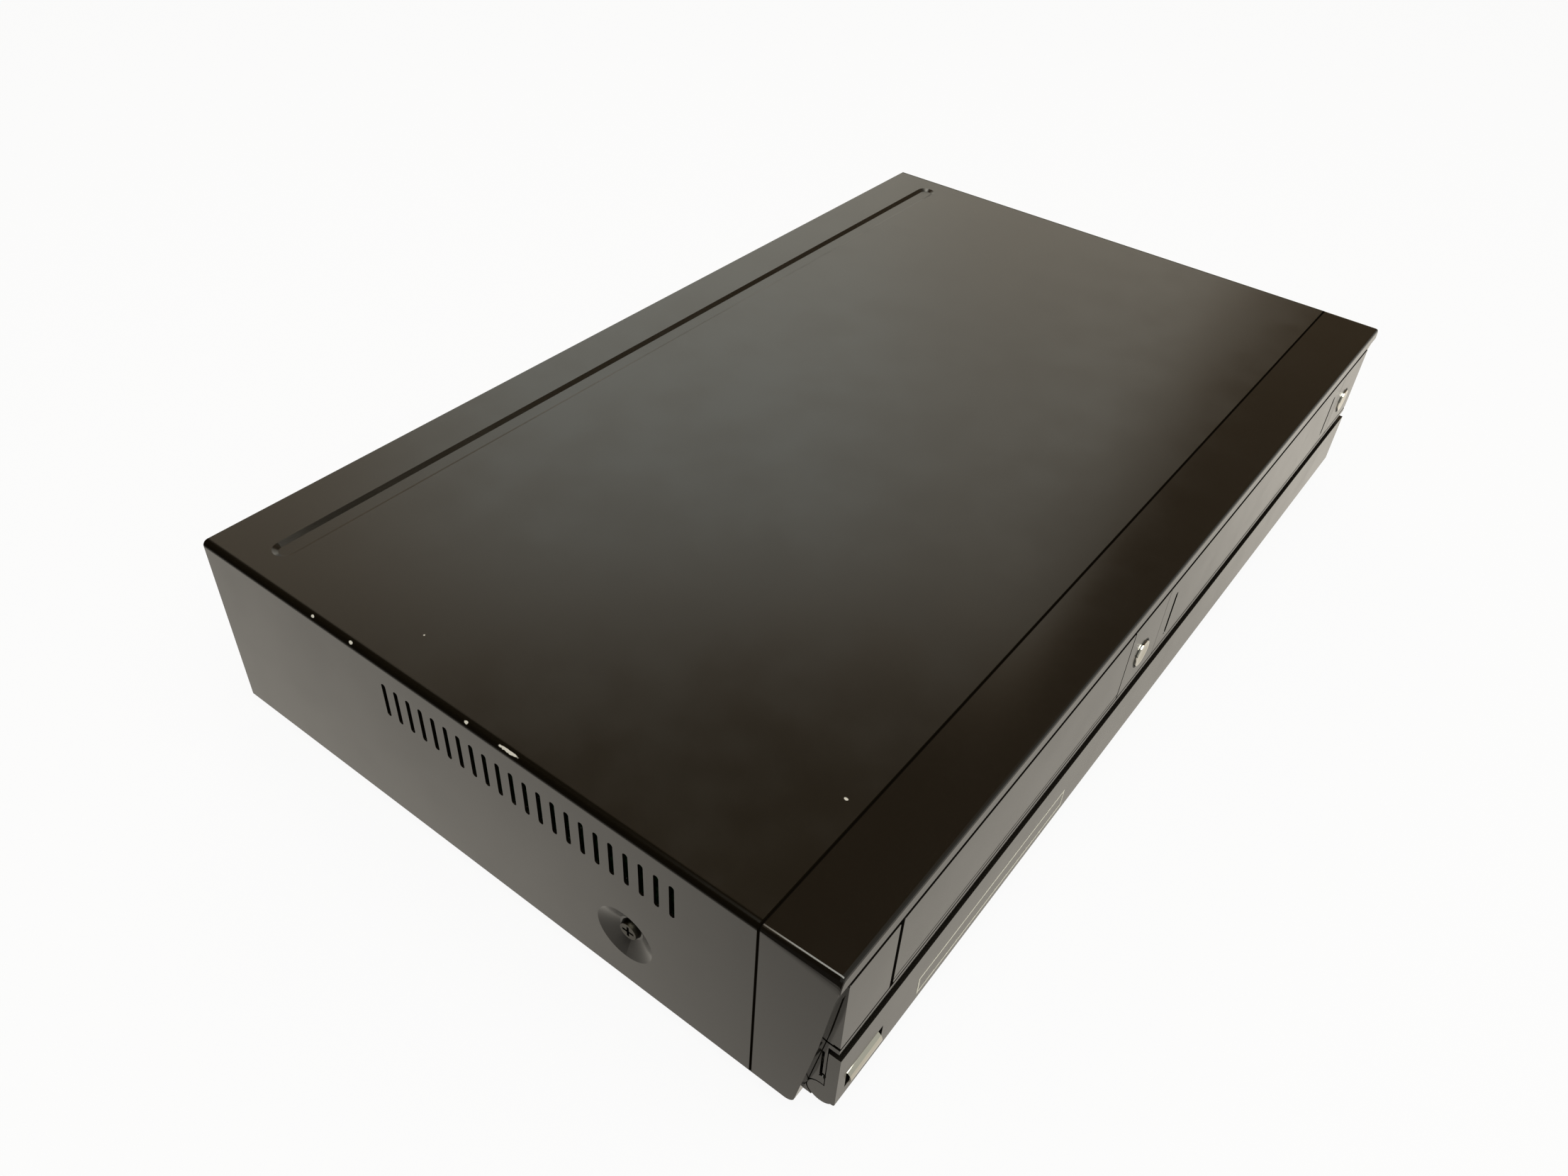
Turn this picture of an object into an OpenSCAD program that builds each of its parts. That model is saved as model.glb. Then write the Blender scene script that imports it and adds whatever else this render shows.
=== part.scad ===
// Disc and cassette recorder deck with its case, front, disc drive and tape deck.
// The frame has +X to the right seen from the front, -Y out of the front and +Z up.
// Its origin is the middle of the footprint, on the surface that the feet stand on.

/* [Case] */
// Width of the case
case_w = 430; // [424:1:460]
// Depth of the steel cover behind the moulded front
case_d = 235; // [235:1:270]
// Height of the case above its feet
case_h = 72; // [72:0.5:84]
// Thickness of the cover and rear sheet
sheet_t = 0.8; // [0.6:0.1:1]
// Rounding of the cover's top edges
edge_r = 2; // [1.5:0.1:3]
// Height of the feet
foot_h = 6.5; // [4:0.5:12]
// Radius of the feet
foot_r = 14; // [10:0.5:16]
// Thickness of the base pan
pan_t = 1; // [0.8:0.1:1.4]

/* [Cover details] */
// Number of ventilation slots in each side
slot_count = 22; // [10:1:22]
// Distance from one slot to the next
slot_pitch = 5.55; // [4:0.05:5.6]
// Width of one ventilation slot
slot_w = 1.9; // [1.5:0.1:2.5]
// Height of one ventilation slot
slot_h = 13.9; // [8:0.1:16]
// Distance of the first slot behind the cover's front edge
slot_start = 28.9; // [25:0.1:35]
// Distance of the pressed groove's middle behind the cover's front edge
groove_s = 211.5; // [190:0.5:214]
// Length of the pressed groove
groove_l = 408; // [300:1:410]
// Width of the pressed groove at its rim
groove_w = 9; // [6:0.5:10]
// Run of the pressed groove's sloping walls
groove_wall = 1.9; // [1:0.1:2.2]
// Depth of the pressed groove
groove_depth = 1; // [0.6:0.1:1.4]
// Radius of the screw dish at the cover's surface
dish_r = 10.7; // [9:0.1:12]
// Depth of the screw dish
dish_depth = 3; // [2:0.1:3.4]
// Radius of the screw heads
screw_head_r = 3.7; // [3:0.1:4]

/* [Front] */
// Depth of the moulded front's top cap
bezel_d = 25.2; // [25:0.1:28]
// Wall thickness of the moulded front
bezel_t = 2.2; // [1.8:0.1:2.6]
// Height of the lip along the top of the front
lip_h = 5.2; // [4.6:0.1:7]
// Inset of the front panels from each side of the case
block_inset = 5.5; // [5:0.1:8]
// Set-back of the upper panels behind the lip
panel_set = 0.4; // [0.2:0.1:0.8]
// Height of the upper row of panels
row_h = 30.5; // [30.5:0.1:32]
// Thickness of the front panels
panel_t = 2.2; // [1.8:0.1:2.4]
// Width of the disc tray door
tray_door_w = 141.9; // [138:0.1:146]
// Share of the spare width that the left panel takes
badge_share = 0.2835; // [0.26:0.0005:0.3]
// Share of the spare width that the centre panel takes
centre_share = 0.3462; // [0.32:0.0002:0.36]
// Width of the cassette flap
flap_w = 191; // [191:0.5:194]
// Thickness of the rail under the upper row
rail_t = 1.9; // [1.2:0.1:2]
// How far the lower door stands proud of the upper panels
door_proud = 0.8; // [0.4:0.1:1.2]
// Radius of the round eject buttons
button_r = 5; // [4:0.1:6]
// Travel of the eject buttons and keys
button_travel = 1; // [0.6:0.1:1.2]
// Width of the power bar
bar_w = 15.7; // [12:0.1:16]
// Height of the power bar
bar_h = 5; // [4:0.1:5]
// How far the power bar stands proud of the lower door
bar_proud = 1.2; // [0.8:0.1:1.6]

/* [Disc drive] */
// Width of the disc tray
tray_w = 130; // [126:0.5:134]
// Depth of the disc tray behind its door
tray_d = 172.6; // [170:0.1:174]
// Thickness of the disc tray
tray_t = 7; // [6:0.1:7]
// Radius of the recess for a full-size disc
disc_r = 61; // [60.5:0.1:62]
// Radius of the recess for a small disc
small_disc_r = 41; // [40.5:0.1:42]
// Radius of the disc turntable
turntable_r = 15; // [13:0.1:16]
// Angle that the loader base drops by when the tray is free to move
loader_tilt = 6.6; // [6.3:0.05:6.7]
// Number of teeth of the tray pinion
pinion_teeth = 20; // [16:1:20]
// Tooth module of the tray's rack and the carriage's rack
gear_module = 1; // [0.9:0.05:1]

/* [Tape deck] */
// Width of a cassette
cassette_w = 188; // [187.5:0.1:188.5]
// Height of a cassette
cassette_h = 25; // [24.8:0.1:25]
// Distance that the cassette carriage moves back
carry_back = 26; // [22:1:28]
// Distance that the cassette carriage moves down
carry_down = 13; // [11:0.5:13.5]
// Distance between the two reels
reel_gap = 92; // [90:0.5:94]
// Radius of a reel table
reel_r = 20; // [16:0.5:22]
// Radius of the head drum
drum_r = 31; // [28:0.5:31]
// Lean of the head drum
drum_tilt = 6; // [4:0.1:7]
// Radius of the pinch roller
pinch_r = 6.5; // [5:0.1:7]
// Radius of the capstan shaft
capstan_r = 2; // [1.5:0.1:2]
// Radius of the capstan flywheel
flywheel_r = 24; // [18:0.5:25]
// Distance that the threading posts travel
thread_run = 43; // [38:1:44]

/* [Rear] */
// How far the aerial sockets stand behind the cover
socket_reach = 8.8; // [7:0.1:12]
// Width of the fan
fan_w = 40; // [36:1:42]
// Depth of the fan
fan_d = 10; // [8:1:12]
// Inner radius of a phono socket
phono_bore_r = 1.6; // [1.5:0.05:1.7]

/* [Fits] */
// Running gap between parts that move past each other
gap = 0.3; // [0.25:0.05:0.4]
// Radial play of a pin in its bore
pin_play = 0.05; // [0.03:0.01:0.08]

/* [Hidden] */
$fn = 48;
eps = 0.01;
groove_floor_r = groove_w / 2 - groove_wall;
base_z = foot_h;
top_z = foot_h + case_h;
in_w = case_w / 2 - sheet_t;
rear_s = case_d - sheet_t;
panel_s = -(bezel_d - panel_set);
panel_back = panel_s + panel_t;
door_s = panel_s - door_proud;
front_reach = bezel_d - panel_set + door_proud + bar_proud;
seam_y = (front_reach - case_d - socket_reach) / 2;
rail_seam = 0.9;
door_seam = 2.7;
lip_lo = top_z - lip_h;
row_hi = top_z - 9.1;
row_lo = row_hi - row_h;
rail_hi = row_lo - rail_seam;
rail_lo = rail_hi - rail_t;
door_hi = rail_lo - door_seam;
door_lo = base_z + 2;
half_block = case_w / 2 - block_inset;
wide_gap = 1.8;
thin_gap = 0.8;
spare_w = 2 * half_block - tray_door_w - flap_w - wide_gap - thin_gap - 2 * gap;
badge_w = badge_share * spare_w;
centre_w = centre_share * spare_w;
badge_x1 = -half_block + badge_w;
tray_x0 = badge_x1 + wide_gap;
tray_x1 = tray_x0 + tray_door_w;
centre_x0 = tray_x1 + thin_gap;
centre_x1 = centre_x0 + centre_w;
flap_x0 = centre_x1 + gap;
flap_x1 = flap_x0 + flap_w;
right_x0 = flap_x1 + gap;
dvd_x = (tray_x0 + tray_x1) / 2;
vcr_x = (flap_x0 + flap_x1) / 2;
button_z = row_lo + 11.6;
button_dvd_x = centre_x0 + 0.47 * centre_w;
button_vcr_x = right_x0 + 0.427 * (half_block - right_x0);

// Places a child at x, at s behind the seam between cover and front, and at height z.
module at(x, s, z) {
  translate([x, seam_y + s, z]) children();
}

// Box between two corners, with its depth counted from the seam.
module box(x0, x1, s0, s1, z0, z1) {
  at(x0, s0, z0) cube([x1 - x0, s1 - s0, z1 - z0]);
}

// Cylinder along X.
module rod_x(x0, x1, s, z, r) {
  at(x0, s, z) rotate([0, 90, 0]) cylinder(h = x1 - x0, r = r);
}

// Cylinder along Y.
module rod_y(s0, s1, x, z, r) {
  at(x, s0, z) rotate([-90, 0, 0]) cylinder(h = s1 - s0, r = r);
}

// Cylinder along Z.
module rod_z(z0, z1, x, s, r) {
  at(x, s, z0) cylinder(h = z1 - z0, r = r);
}

// Extrudes a side profile, drawn as (s, z), from x0 to x1.
module slab_x(x0, x1) {
  at(x0, 0, 0) rotate([90, 0, 90]) linear_extrude(x1 - x0) children();
}

// Extrudes a front profile, drawn as (x, z), from s0 to s1.
module slab_y(s0, s1) {
  at(0, s1, 0) rotate([90, 0, 0]) linear_extrude(s1 - s0) children();
}

// Repeats its children on the left and mirrored on the right.
module both_sides() {
  for (side = [0, 1]) mirror([side, 0, 0]) children();
}

// Upright slot with round ends.
module slot_2d(w, h) {
  square([w, h - w], center = true);
  for (end = [-1, 1]) translate([0, end * (h - w) / 2]) circle(d = w);
}

// Rectangle with round corners, from its lower left corner.
module plate_2d(w, h, r) {
  translate([r, 0]) square([w - 2 * r, h]);
  translate([0, r]) square([w, h - 2 * r]);
  for (x = [r, w - r]) for (y = [r, h - r]) translate([x, y]) circle(r);
}

// Outline of the case seen from the front, square below and rounded above.
module arch_2d(w, h, r) {
  translate([-w / 2, 0]) square([w, h - r]);
  translate([-w / 2 + r, 0]) square([w - 2 * r, h]);
  for (side = [-1, 1]) translate([side * (w / 2 - r), h - r]) circle(r);
}

// Spur gear outline with tapered teeth and generous backlash.
module gear_2d(teeth, m) {
  root_r = m * (teeth / 2 - 1.25);
  tip_r = m * (teeth / 2 + 0.8);
  circle(root_r + eps);
  for (i = [0 : teeth - 1]) {
    rotate(i * 360 / teeth)
      polygon([[root_r - 0.4, -0.85 * m], [tip_r, -0.3 * m], [tip_r, 0.3 * m], [root_r - 0.4, 0.85 * m]]);
  }
}

// Straight rack outline along its first axis, with teeth towards +Y and its pitch line at y = 0.
module rack_2d(length, back, m) {
  count = floor(length / (PI * m));
  translate([0, -back]) square([length, back - 1.25 * m]);
  for (i = [0 : count - 1]) {
    translate([(i + 0.5) * PI * m, 0])
      polygon([[-0.9 * m, -1.26 * m], [0.9 * m, -1.26 * m], [0.3 * m, 0.8 * m], [-0.3 * m, 0.8 * m]]);
  }
}

/* [Hidden] */
dish_floor_r = 4.5;
dish_s = 47.6;
dish_z = top_z - 49.3;
screw_r = 1.5;
screw_hole_r = screw_r + gap / 2;
rear_screw_z = top_z - 5.5;
rear_screw_x = [65 - case_w / 2, 0, case_w / 2 - 65];
foot_x = case_w / 2 - 45;
foot_s = [35, case_d - 35];
flange_h = 10;
tab_w = 14;
board_z = base_z + pan_t + 1.5;
board_t = 1.6;
post_r = 3;

// Long trough with sloping walls and round ends, from half width r0 at height z to r1 above it.
module trough(z, h, r0, r1) {
  reach = (groove_l - groove_w) / 2;
  slab_x(-reach, reach)
    polygon([[groove_s - r0, z], [groove_s + r0, z], [groove_s + r1, z + h], [groove_s - r1, z + h]]);
  both_sides() at(reach, groove_s, z) cylinder(h = h, r1 = r0, r2 = r1);
}

// Steel cover: top and sides in one folded sheet, with a turned-down rear edge.
module top_cover() {
  color("#3a3934") {
    difference() {
      union() {
        difference() {
          slab_y(0, case_d) translate([0, base_z]) arch_2d(case_w, case_h, edge_r);
          slab_y(-1, case_d + 1) translate([0, base_z - 1])
            arch_2d(2 * in_w, case_h + 1 - sheet_t, edge_r - sheet_t + 0.1);
        }
        trough(top_z - groove_depth - sheet_t, groove_depth + sheet_t / 2, groove_floor_r,
          groove_floor_r + groove_wall * (1 + sheet_t / 2 / groove_depth));
        both_sides()
          at(in_w - dish_depth, dish_s, dish_z) rotate([0, 90, 0])
            cylinder(h = dish_depth + sheet_t / 2, r1 = dish_floor_r + sheet_t, r2 = dish_r + sheet_t / 2);
      }
      trough(top_z - groove_depth, groove_depth + eps, groove_floor_r, groove_w / 2);
      both_sides() {
        at(case_w / 2 - dish_depth, dish_s, dish_z) rotate([0, 90, 0])
          cylinder(h = dish_depth + eps, r1 = dish_floor_r, r2 = dish_r);
        rod_x(in_w - dish_depth - 1, case_w / 2, dish_s, dish_z, screw_hole_r);
      }
      slab_x(-case_w / 2 - 1, case_w / 2 + 1)
        for (i = [0 : slot_count - 1])
          translate([slot_start + i * slot_pitch, top_z - 9.1 - slot_h / 2]) slot_2d(slot_w, slot_h);
    }
    difference() {
      box(-in_w, in_w, rear_s, case_d, top_z - flange_h, top_z - sheet_t);
      for (x = rear_screw_x) rod_y(rear_s - 1, case_d + 1, x, rear_screw_z, screw_hole_r);
    }
  }
}

// Base pan: floor, side and rear flanges, screw tabs and board standoffs.
module chassis_pan() {
  floor_z = base_z + pan_t;
  back = rear_s - sheet_t;
  color("#9a9c9b") {
    difference() {
      union() {
        box(-in_w, in_w, 0, back, base_z, floor_z);
        box(-in_w, in_w, back - pan_t, back, floor_z, board_top - gap);
        both_sides() {
          box(in_w - pan_t, in_w, 4, back - pan_t, floor_z, base_z + flange_h);
          box(in_w - dish_depth - pan_t, in_w - dish_depth, dish_s - tab_w / 2, dish_s + tab_w / 2,
            floor_z, dish_z + tab_w / 2);
        }
        for (p = standoffs) rod_z(floor_z, board_z, p[0], p[1], post_r);
      }
      both_sides() rod_x(in_w - 20, case_w / 2, dish_s, dish_z, screw_hole_r);
    }
  }
}

// Posts that stand on the base pan and carry the tape deck and the disc drive.
module support_posts() {
  color("#a7a9a8") {
    for (p = deck_posts) rod_z(base_z + pan_t, deck_z, p[0], p[1], post_r);
    for (p = drive_posts) rod_z(base_z + pan_t, housing_z, p[0], p[1], post_r);
  }
}

// Rear sheet with a cut-out for each socket and the fan.
module rear_panel() {
  color("#8d8f8e")
    difference() {
      slab_y(rear_s - sheet_t, rear_s) translate([0, base_z])
        arch_2d(2 * in_w, case_h - sheet_t, edge_r - sheet_t + 0.1);
      slab_y(rear_s - 5, rear_s + 5) {
        for (x = rear_screw_x) translate([x, rear_screw_z]) circle(screw_hole_r);
        for (row = [-2 : 2]) for (col = [-2 : 2])
          if (row * row + col * col < 7)
            translate([fan_x + col * fan_pitch, fan_z + row * fan_pitch]) circle(fan_hole_r);
        for (p = phono_places) translate(p) circle(phono_collar_r + gap);
        for (z = scart_z) translate([scart_x, z])
          square([scart_w + 2 * gap, scart_h + 2 * gap], center = true);
        translate([hdmi_x, hdmi_z]) square([hdmi_w + 2 * gap, hdmi_h + 2 * gap], center = true);
        for (x = aerial_x) translate([x, aerial_z]) circle(aerial_r + gap);
        translate([inlet_x, inlet_z]) square([inlet_w + 2 * gap, inlet_h + 2 * gap], center = true);
      }
    }
}

// Four round feet with a shallow hollow in the sole.
module feet() {
  color("#1c1c1c")
    for (x = [-foot_x, foot_x]) for (s = foot_s)
      difference() {
        at(x, s, 0) cylinder(h = foot_h, r1 = foot_r - 1, r2 = foot_r);
        rod_z(-1, 1, x, s, foot_r / 2);
        rod_z(0.5, foot_h + 1, x, s, screw_r);
      }
}

// One pan-head screw along +Z, with its head's top at z = 0.
module pan_screw(head_h, shank_l) {
  difference() {
    translate([0, 0, -head_h]) cylinder(h = head_h, r1 = screw_head_r, r2 = screw_head_r - 0.6);
    for (turn = [0, 90]) rotate(turn) cube([4.4, 0.9, 1.4], center = true);
  }
  translate([0, 0, -head_h - shank_l]) cylinder(h = shank_l, r = screw_r);
}

// Side and rear screws that hold the cover.
module cover_screws() {
  side_head = 1.6;
  color("#2e2c28") {
    both_sides()
      at(case_w / 2 - dish_depth + side_head, dish_s, dish_z)
        rotate([0, 90, 0]) pan_screw(side_head, 7);
    for (x = rear_screw_x)
      at(x, case_d + side_head, rear_screw_z) rotate([-90, 0, 0]) pan_screw(side_head, 6);
  }
}

/* [Hidden] */
lip_t = 1.6;
nose_r = 1.2;
side_wall_s = door_s + 4 + gap;
shell_in = case_w / 2 - bezel_t;
wall_back = -3;
hinge_s = door_s + 5.1;
hinge_z = door_lo + 2.5;
hinge_pin_r = 1.2;
hinge_swing = 6;
knuckle_r = 4.5;
knuckle_gap = 0.5;
cheek_in = half_block + 0.8;
cheek_r = 3.5;
cheek_s = -12.2;
lug_r = 2.6;
ear_x = half_block - 7.5;
ear_t = 2;
flap_pin_r = 1;
flap_pivot_s = panel_back + 1.6;
flap_pivot_z = row_hi - 0.8;
flap_ear_r = 1.8;
control_s = panel_back + 3.1;
control_t = 1.8;
control_lo = hinge_z + 2.8;
bar_x = -half_block + 13.35;
bar_z = base_z + 10;
key_w = 12;
key_h = 6;
key_x = [for (i = [0 : 2]) 59.5 - half_block + 20 * i];
key_z = base_z + 18;
front_jack_x = [for (i = [0 : 2]) half_block - 89.5 + 18 * i];
board_s = control_s + control_t + 4.7;

// Outer block of the moulded front, with a rounded nose and deeper rounding towards the front.
module bezel_block() {
  stations = [[0, 0, edge_r], [bezel_d - nose_r, 0, 5.6], [bezel_d - nose_r / 2, 0.16, 5.7],
    [bezel_d - nose_r / 6, 0.54, 5.9], [bezel_d, nose_r, 6.4]];
  hull()
    for (p = stations) {
      at(0, -p[0] - gap / 2, (base_z + top_z - 8) / 2)
        cube([case_w, gap / 10, top_z - 8 - base_z], center = true);
      for (side = [-1, 1])
        at(side * (case_w / 2 - edge_r), -p[0] - gap / 2, top_z - p[1] - p[2]) rotate([90, 0, 0])
          scale([edge_r, p[2], 1]) cylinder(h = gap / 10, r = 1, center = true, $fn = 32);
    }
}

// Moulded front: cap, lip, cheeks, rail, partitions, floor and hinge lugs.
module front_bezel() {
  color("#2b2823") {
    difference() {
      union() {
        difference() {
          bezel_block();
          box(-cheek_in, cheek_in, -bezel_d + lip_t, wall_back - 2, base_z - 5, top_z - bezel_t);
          box(-shell_in, shell_in, wall_back - 3, 5, base_z - 5, top_z - bezel_t);
          box(-half_block, half_block, -bezel_d - 1, 0, base_z - 5, lip_lo);
          slab_x(-case_w, case_w)
            polygon([[-bezel_d - 5, lip_lo], [-bezel_d + 0.3, lip_lo], [1.2 - bezel_d, top_z - 11.5],
              [4 - bezel_d, top_z - 35], [9.6 - bezel_d, base_z + 2.6], [11.8 - bezel_d, base_z - 5],
              [-bezel_d - 5, base_z - 5]]);
          slab_x(-case_w, case_w) difference() {
            translate([-bezel_d - 5, base_z - 5]) square([bezel_d + 5 + cheek_s, 5 + cheek_r]);
            translate([cheek_s, base_z + cheek_r]) circle(cheek_r);
          }
        }
        box(-shell_in, shell_in, wall_back - 2, -gap, top_z - 2 * bezel_t, top_z - bezel_t);
        both_sides() {
          slab_x(half_block - 2, half_block) difference() {
            translate([side_wall_s, base_z]) square([wall_back - side_wall_s, rail_lo - base_z]);
            intersection() {
              translate([hinge_s, hinge_z]) circle(hinge_swing);
              translate([-50, 0]) square([50 + hinge_s + 2.8, hinge_z - 0.4]);
            }
            translate([side_wall_s + 1.35, base_z + 20]) slot_2d(0.9, 12.5);
          }
          rod_x(half_block - 1, half_block + 0.5, hinge_s, base_z + 13.1, 1);
          box(half_block, cheek_in + eps, wall_back - 5, wall_back - 3, base_z, top_z - bezel_t);
          slab_x(ear_x + ear_t + gap, ear_x + 2 * ear_t + gap) {
            translate([hinge_s, hinge_z]) circle(lug_r);
            translate([hinge_s, hinge_z - 2.4]) square([8, 4.8]);
            translate([hinge_s + 4.5, base_z]) square([4, hinge_z - base_z]);
          }
        }
        box(-half_block, half_block, panel_s, wall_back, rail_lo, rail_hi);
        for (x = [tray_x0 - 2.4, tray_x1 + 0.4, flap_x0 - 2 - gap, flap_x1 + gap])
          box(x, x + 2, panel_back, wall_back, rail_hi - eps, top_z - bezel_t + eps);
        box(-half_block + 2, half_block - 2, panel_back, panel_back + 1.4, row_hi + 1.4,
          top_z - bezel_t + eps);
        box(-half_block, half_block, hinge_s + 3.1, -gap, base_z, base_z + bezel_t);
        box(-shell_in - eps, shell_in + eps, cheek_s, -gap, base_z, base_z + bezel_t);
      }
      both_sides()
        slab_x(half_block - 2 - gap, half_block + eps)
          translate([hinge_s, hinge_z]) circle(knuckle_r + knuckle_gap);
      both_sides() rod_x(ear_x, shell_in - 4, hinge_s, hinge_z, hinge_pin_r + pin_play);
      rod_x(flap_x0 - 5, flap_x1 + 5, flap_pivot_s, flap_pivot_z, flap_pin_r + pin_play);
    }
  }
}

// Left front panel with its side return.
module badge_panel() {
  color("#4a4843") {
    slab_y(panel_s, panel_back) translate([-half_block, row_lo]) {
      plate_2d(badge_w, row_h, 0.6);
    }
    box(-half_block, -half_block + 2, panel_back, wall_back, row_lo, row_hi - 0.6);
  }
}

// Centre front panel around the disc eject button.
module centre_panel() {
  color("#4a4843")
    slab_y(panel_s, panel_back) difference() {
      translate([centre_x0, row_lo]) plate_2d(centre_w, row_h, 0.4);
      translate([button_dvd_x, button_z]) circle(button_r + gap);
    }
}

// Right front panel around the cassette eject button, with its side return.
module right_panel() {
  color("#4a4843") {
    slab_y(panel_s, panel_back) difference() {
      translate([right_x0, row_lo]) plate_2d(half_block - right_x0, row_h, 0.6);
      translate([button_vcr_x, button_z]) circle(button_r + gap);
    }
    box(half_block - 2, half_block, panel_back, wall_back, row_lo, row_hi - 0.6);
  }
}

// Inner panel behind the lower door, with openings for the power bar, keys and sockets.
module control_panel() {
  color("#33312c")
    slab_y(control_s, control_s + control_t) difference() {
      translate([-half_block + 2 + gap, control_lo])
        square([2 * (half_block - 2 - gap), rail_lo - control_lo]);
      translate([bar_x, bar_z]) square([bar_w + 2 * gap, bar_h + 2 * gap], center = true);
      for (x = key_x) translate([x, key_z]) square([key_w + 2 * gap, key_h + 2 * gap], center = true);
      for (x = front_jack_x) translate([x, key_z]) circle(phono_collar_r + gap);
    }
}

// Flip-down lower door with end returns, round knuckles, hinge ears and stub pins.
module flip_door() {
  plate_t = 2.2;
  color("#4a4843") {
    difference() {
      slab_x(-half_block, half_block) {
        translate([door_s, door_lo + plate_t / 2]) square([plate_t, door_hi - door_lo - plate_t / 2]);
        translate([door_s + plate_t / 2, door_lo + plate_t / 2]) circle(plate_t / 2);
      }
      box(bar_x - bar_w / 2 - 1.3, bar_x + bar_w / 2 + 1.3, door_s - 1, door_s + 5,
        bar_z - bar_h / 2 - 0.5, bar_z + bar_h / 2 + 2.2);
    }
    both_sides() {
      box(half_block - 2, half_block, door_s + 1, door_s + 4, door_lo + 0.6, door_hi);
      slab_x(half_block - 2, half_block) translate([hinge_s, hinge_z]) circle(knuckle_r);
      slab_x(ear_x, ear_x + ear_t) {
        translate([hinge_s, hinge_z]) circle(1.9);
        translate([door_s + 1, hinge_z - 1.6]) square([hinge_s - door_s - 1, 3.2]);
      }
      rod_x(ear_x + 1, ear_x + 2 * ear_t + 2 * gap, hinge_s, hinge_z, hinge_pin_r);
    }
  }
}

// Chrome power bar with a half-round nose and its stem.
module power_button() {
  nose = bar_h / 2 - 0.4;
  color("#c8c3b3")
    slab_x(bar_x - bar_w / 2, bar_x + bar_w / 2) {
      intersection() {
        translate([door_s - bar_proud + bar_h / 2, bar_z]) circle(bar_h / 2);
        translate([door_s - bar_proud, bar_z - bar_h / 2]) square([bar_h / 2, bar_h]);
      }
      translate([door_s - bar_proud + nose, bar_z - bar_h / 2])
        square([control_s + control_t + 1 - door_s + bar_proud - nose, bar_h]);
      translate([control_s + control_t, bar_z - 1])
        square([board_s - button_travel - gap - 1.8 - control_s - control_t, 2]);
    }
}

// Round eject button: dished chrome cap, collar and stem, centred on x.
module eject_button(x) {
  stem_end = board_s - button_travel - gap - 1.8;
  color("#c8c3b3") {
    difference() {
      rod_y(panel_s - 0.6, panel_back + 1.5, x, button_z, button_r);
      at(x, panel_s - 0.6 - 14, button_z) sphere(r = 14.6, $fn = 96);
    }
    rod_y(panel_back + 1, stem_end, x, button_z, 1.5);
  }
}

// Disc eject button.
module dvd_eject_button() {
  eject_button(button_dvd_x);
}

// Cassette eject button.
module vcr_eject_button() {
  eject_button(button_vcr_x);
}

// One transport key behind the lower door.
module transport_key(x) {
  color("#6c6a64") {
    slab_y(control_s - 1.2, control_s + control_t + 1) translate([x - key_w / 2, key_z - key_h / 2])
      plate_2d(key_w, key_h, 1);
    rod_y(control_s + control_t, board_s - button_travel - gap - 1.8, x, key_z, 1.5);
  }
}

// Rewind key.
module key_rewind() {
  transport_key(key_x[0]);
}

// Play key.
module key_play() {
  transport_key(key_x[1]);
}

// Stop key.
module key_stop() {
  transport_key(key_x[2]);
}

// Three phono sockets behind the lower door.
module front_jacks() {
  color("#c8a53c")
    for (x = front_jack_x) phono_jack(x, key_z, control_s - 0.8, 1, board_s - control_s + 0.8);
}

// Phono jack: collar that points along dir (+1 towards -Y, -1 towards +Y) and block behind it.
module phono_jack(x, z, tip_s, dir, length) {
  collar = 3.6;
  block_s = dir > 0 ? tip_s + collar : tip_s - length;
  difference() {
    union() {
      rod_y(min(tip_s, tip_s + dir * collar), max(tip_s, tip_s + dir * collar), x, z, phono_collar_r);
      box(x - 5, x + 5, block_s, block_s + length - collar, z - 5, z + 5);
    }
    rod_y(min(tip_s - dir, tip_s + dir * 5), max(tip_s - dir, tip_s + dir * 5), x, z, phono_bore_r);
  }
}

// Circuit board behind the control panel, with a switch behind each button.
module front_board() {
  color("#2f5a3a") {
    difference() {
      box(-half_block + 4, half_block - 4, board_s, board_s + board_t, base_z + bezel_t, rail_lo - 1);
      both_sides() box(ear_x - 1, half_block, board_s - 1, board_s + 3, base_z, hinge_z + 3);
    }
    for (x = [button_dvd_x, button_vcr_x])
      box(x - 6, x + 6, board_s, board_s + board_t, rail_hi, button_z + 7);
  }
  color("#222222") {
    for (x = key_x) box(x - 3, x + 3, board_s - 1.8, board_s, key_z - 3, key_z + 3);
    for (x = [button_dvd_x, button_vcr_x])
      box(x - 3, x + 3, board_s - 1.8, board_s, button_z - 3, button_z + 3);
    box(bar_x - 3, bar_x + 3, board_s - 1.8, board_s, bar_z - 2.5, bar_z + 2.5);
  }
}

/* [Hidden] */
board_top = board_z + board_t;
deck_z = base_z + 15.5;
deck_t = 1.5;
deck_top = deck_z + deck_t;
housing_z = base_z + 17.5;
deck_back = rear_s - 38.2;
deck_posts = [for (x = [-92, 92]) for (s = [12, deck_back - 6]) [vcr_x + x, s]];
drive_posts = [for (x = [-64, 64]) for (s = [12, 158]) [dvd_x + x, s]];
board_back = rear_s - sheet_t - 2;
main_x = [15 - case_w / 2, case_w / 2 - 10];
main_split = 166;
main_split_x = button_dvd_x - 8;
power_x = [9 - case_w / 2, dvd_x + 63.25];
power_s = 172;
main_supports = [[main_x[0] + 10, 26], [dvd_x + 3.25, 20], [vcr_x - 13, 20], [main_x[1] - 8, 26],
  [main_x[0] + 10, 140], [main_split_x + 6, 140], [main_x[1] - 8, 140],
  [main_split_x + 8, board_back - 8], [main_x[1] - 15, board_back - 8]];
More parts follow.
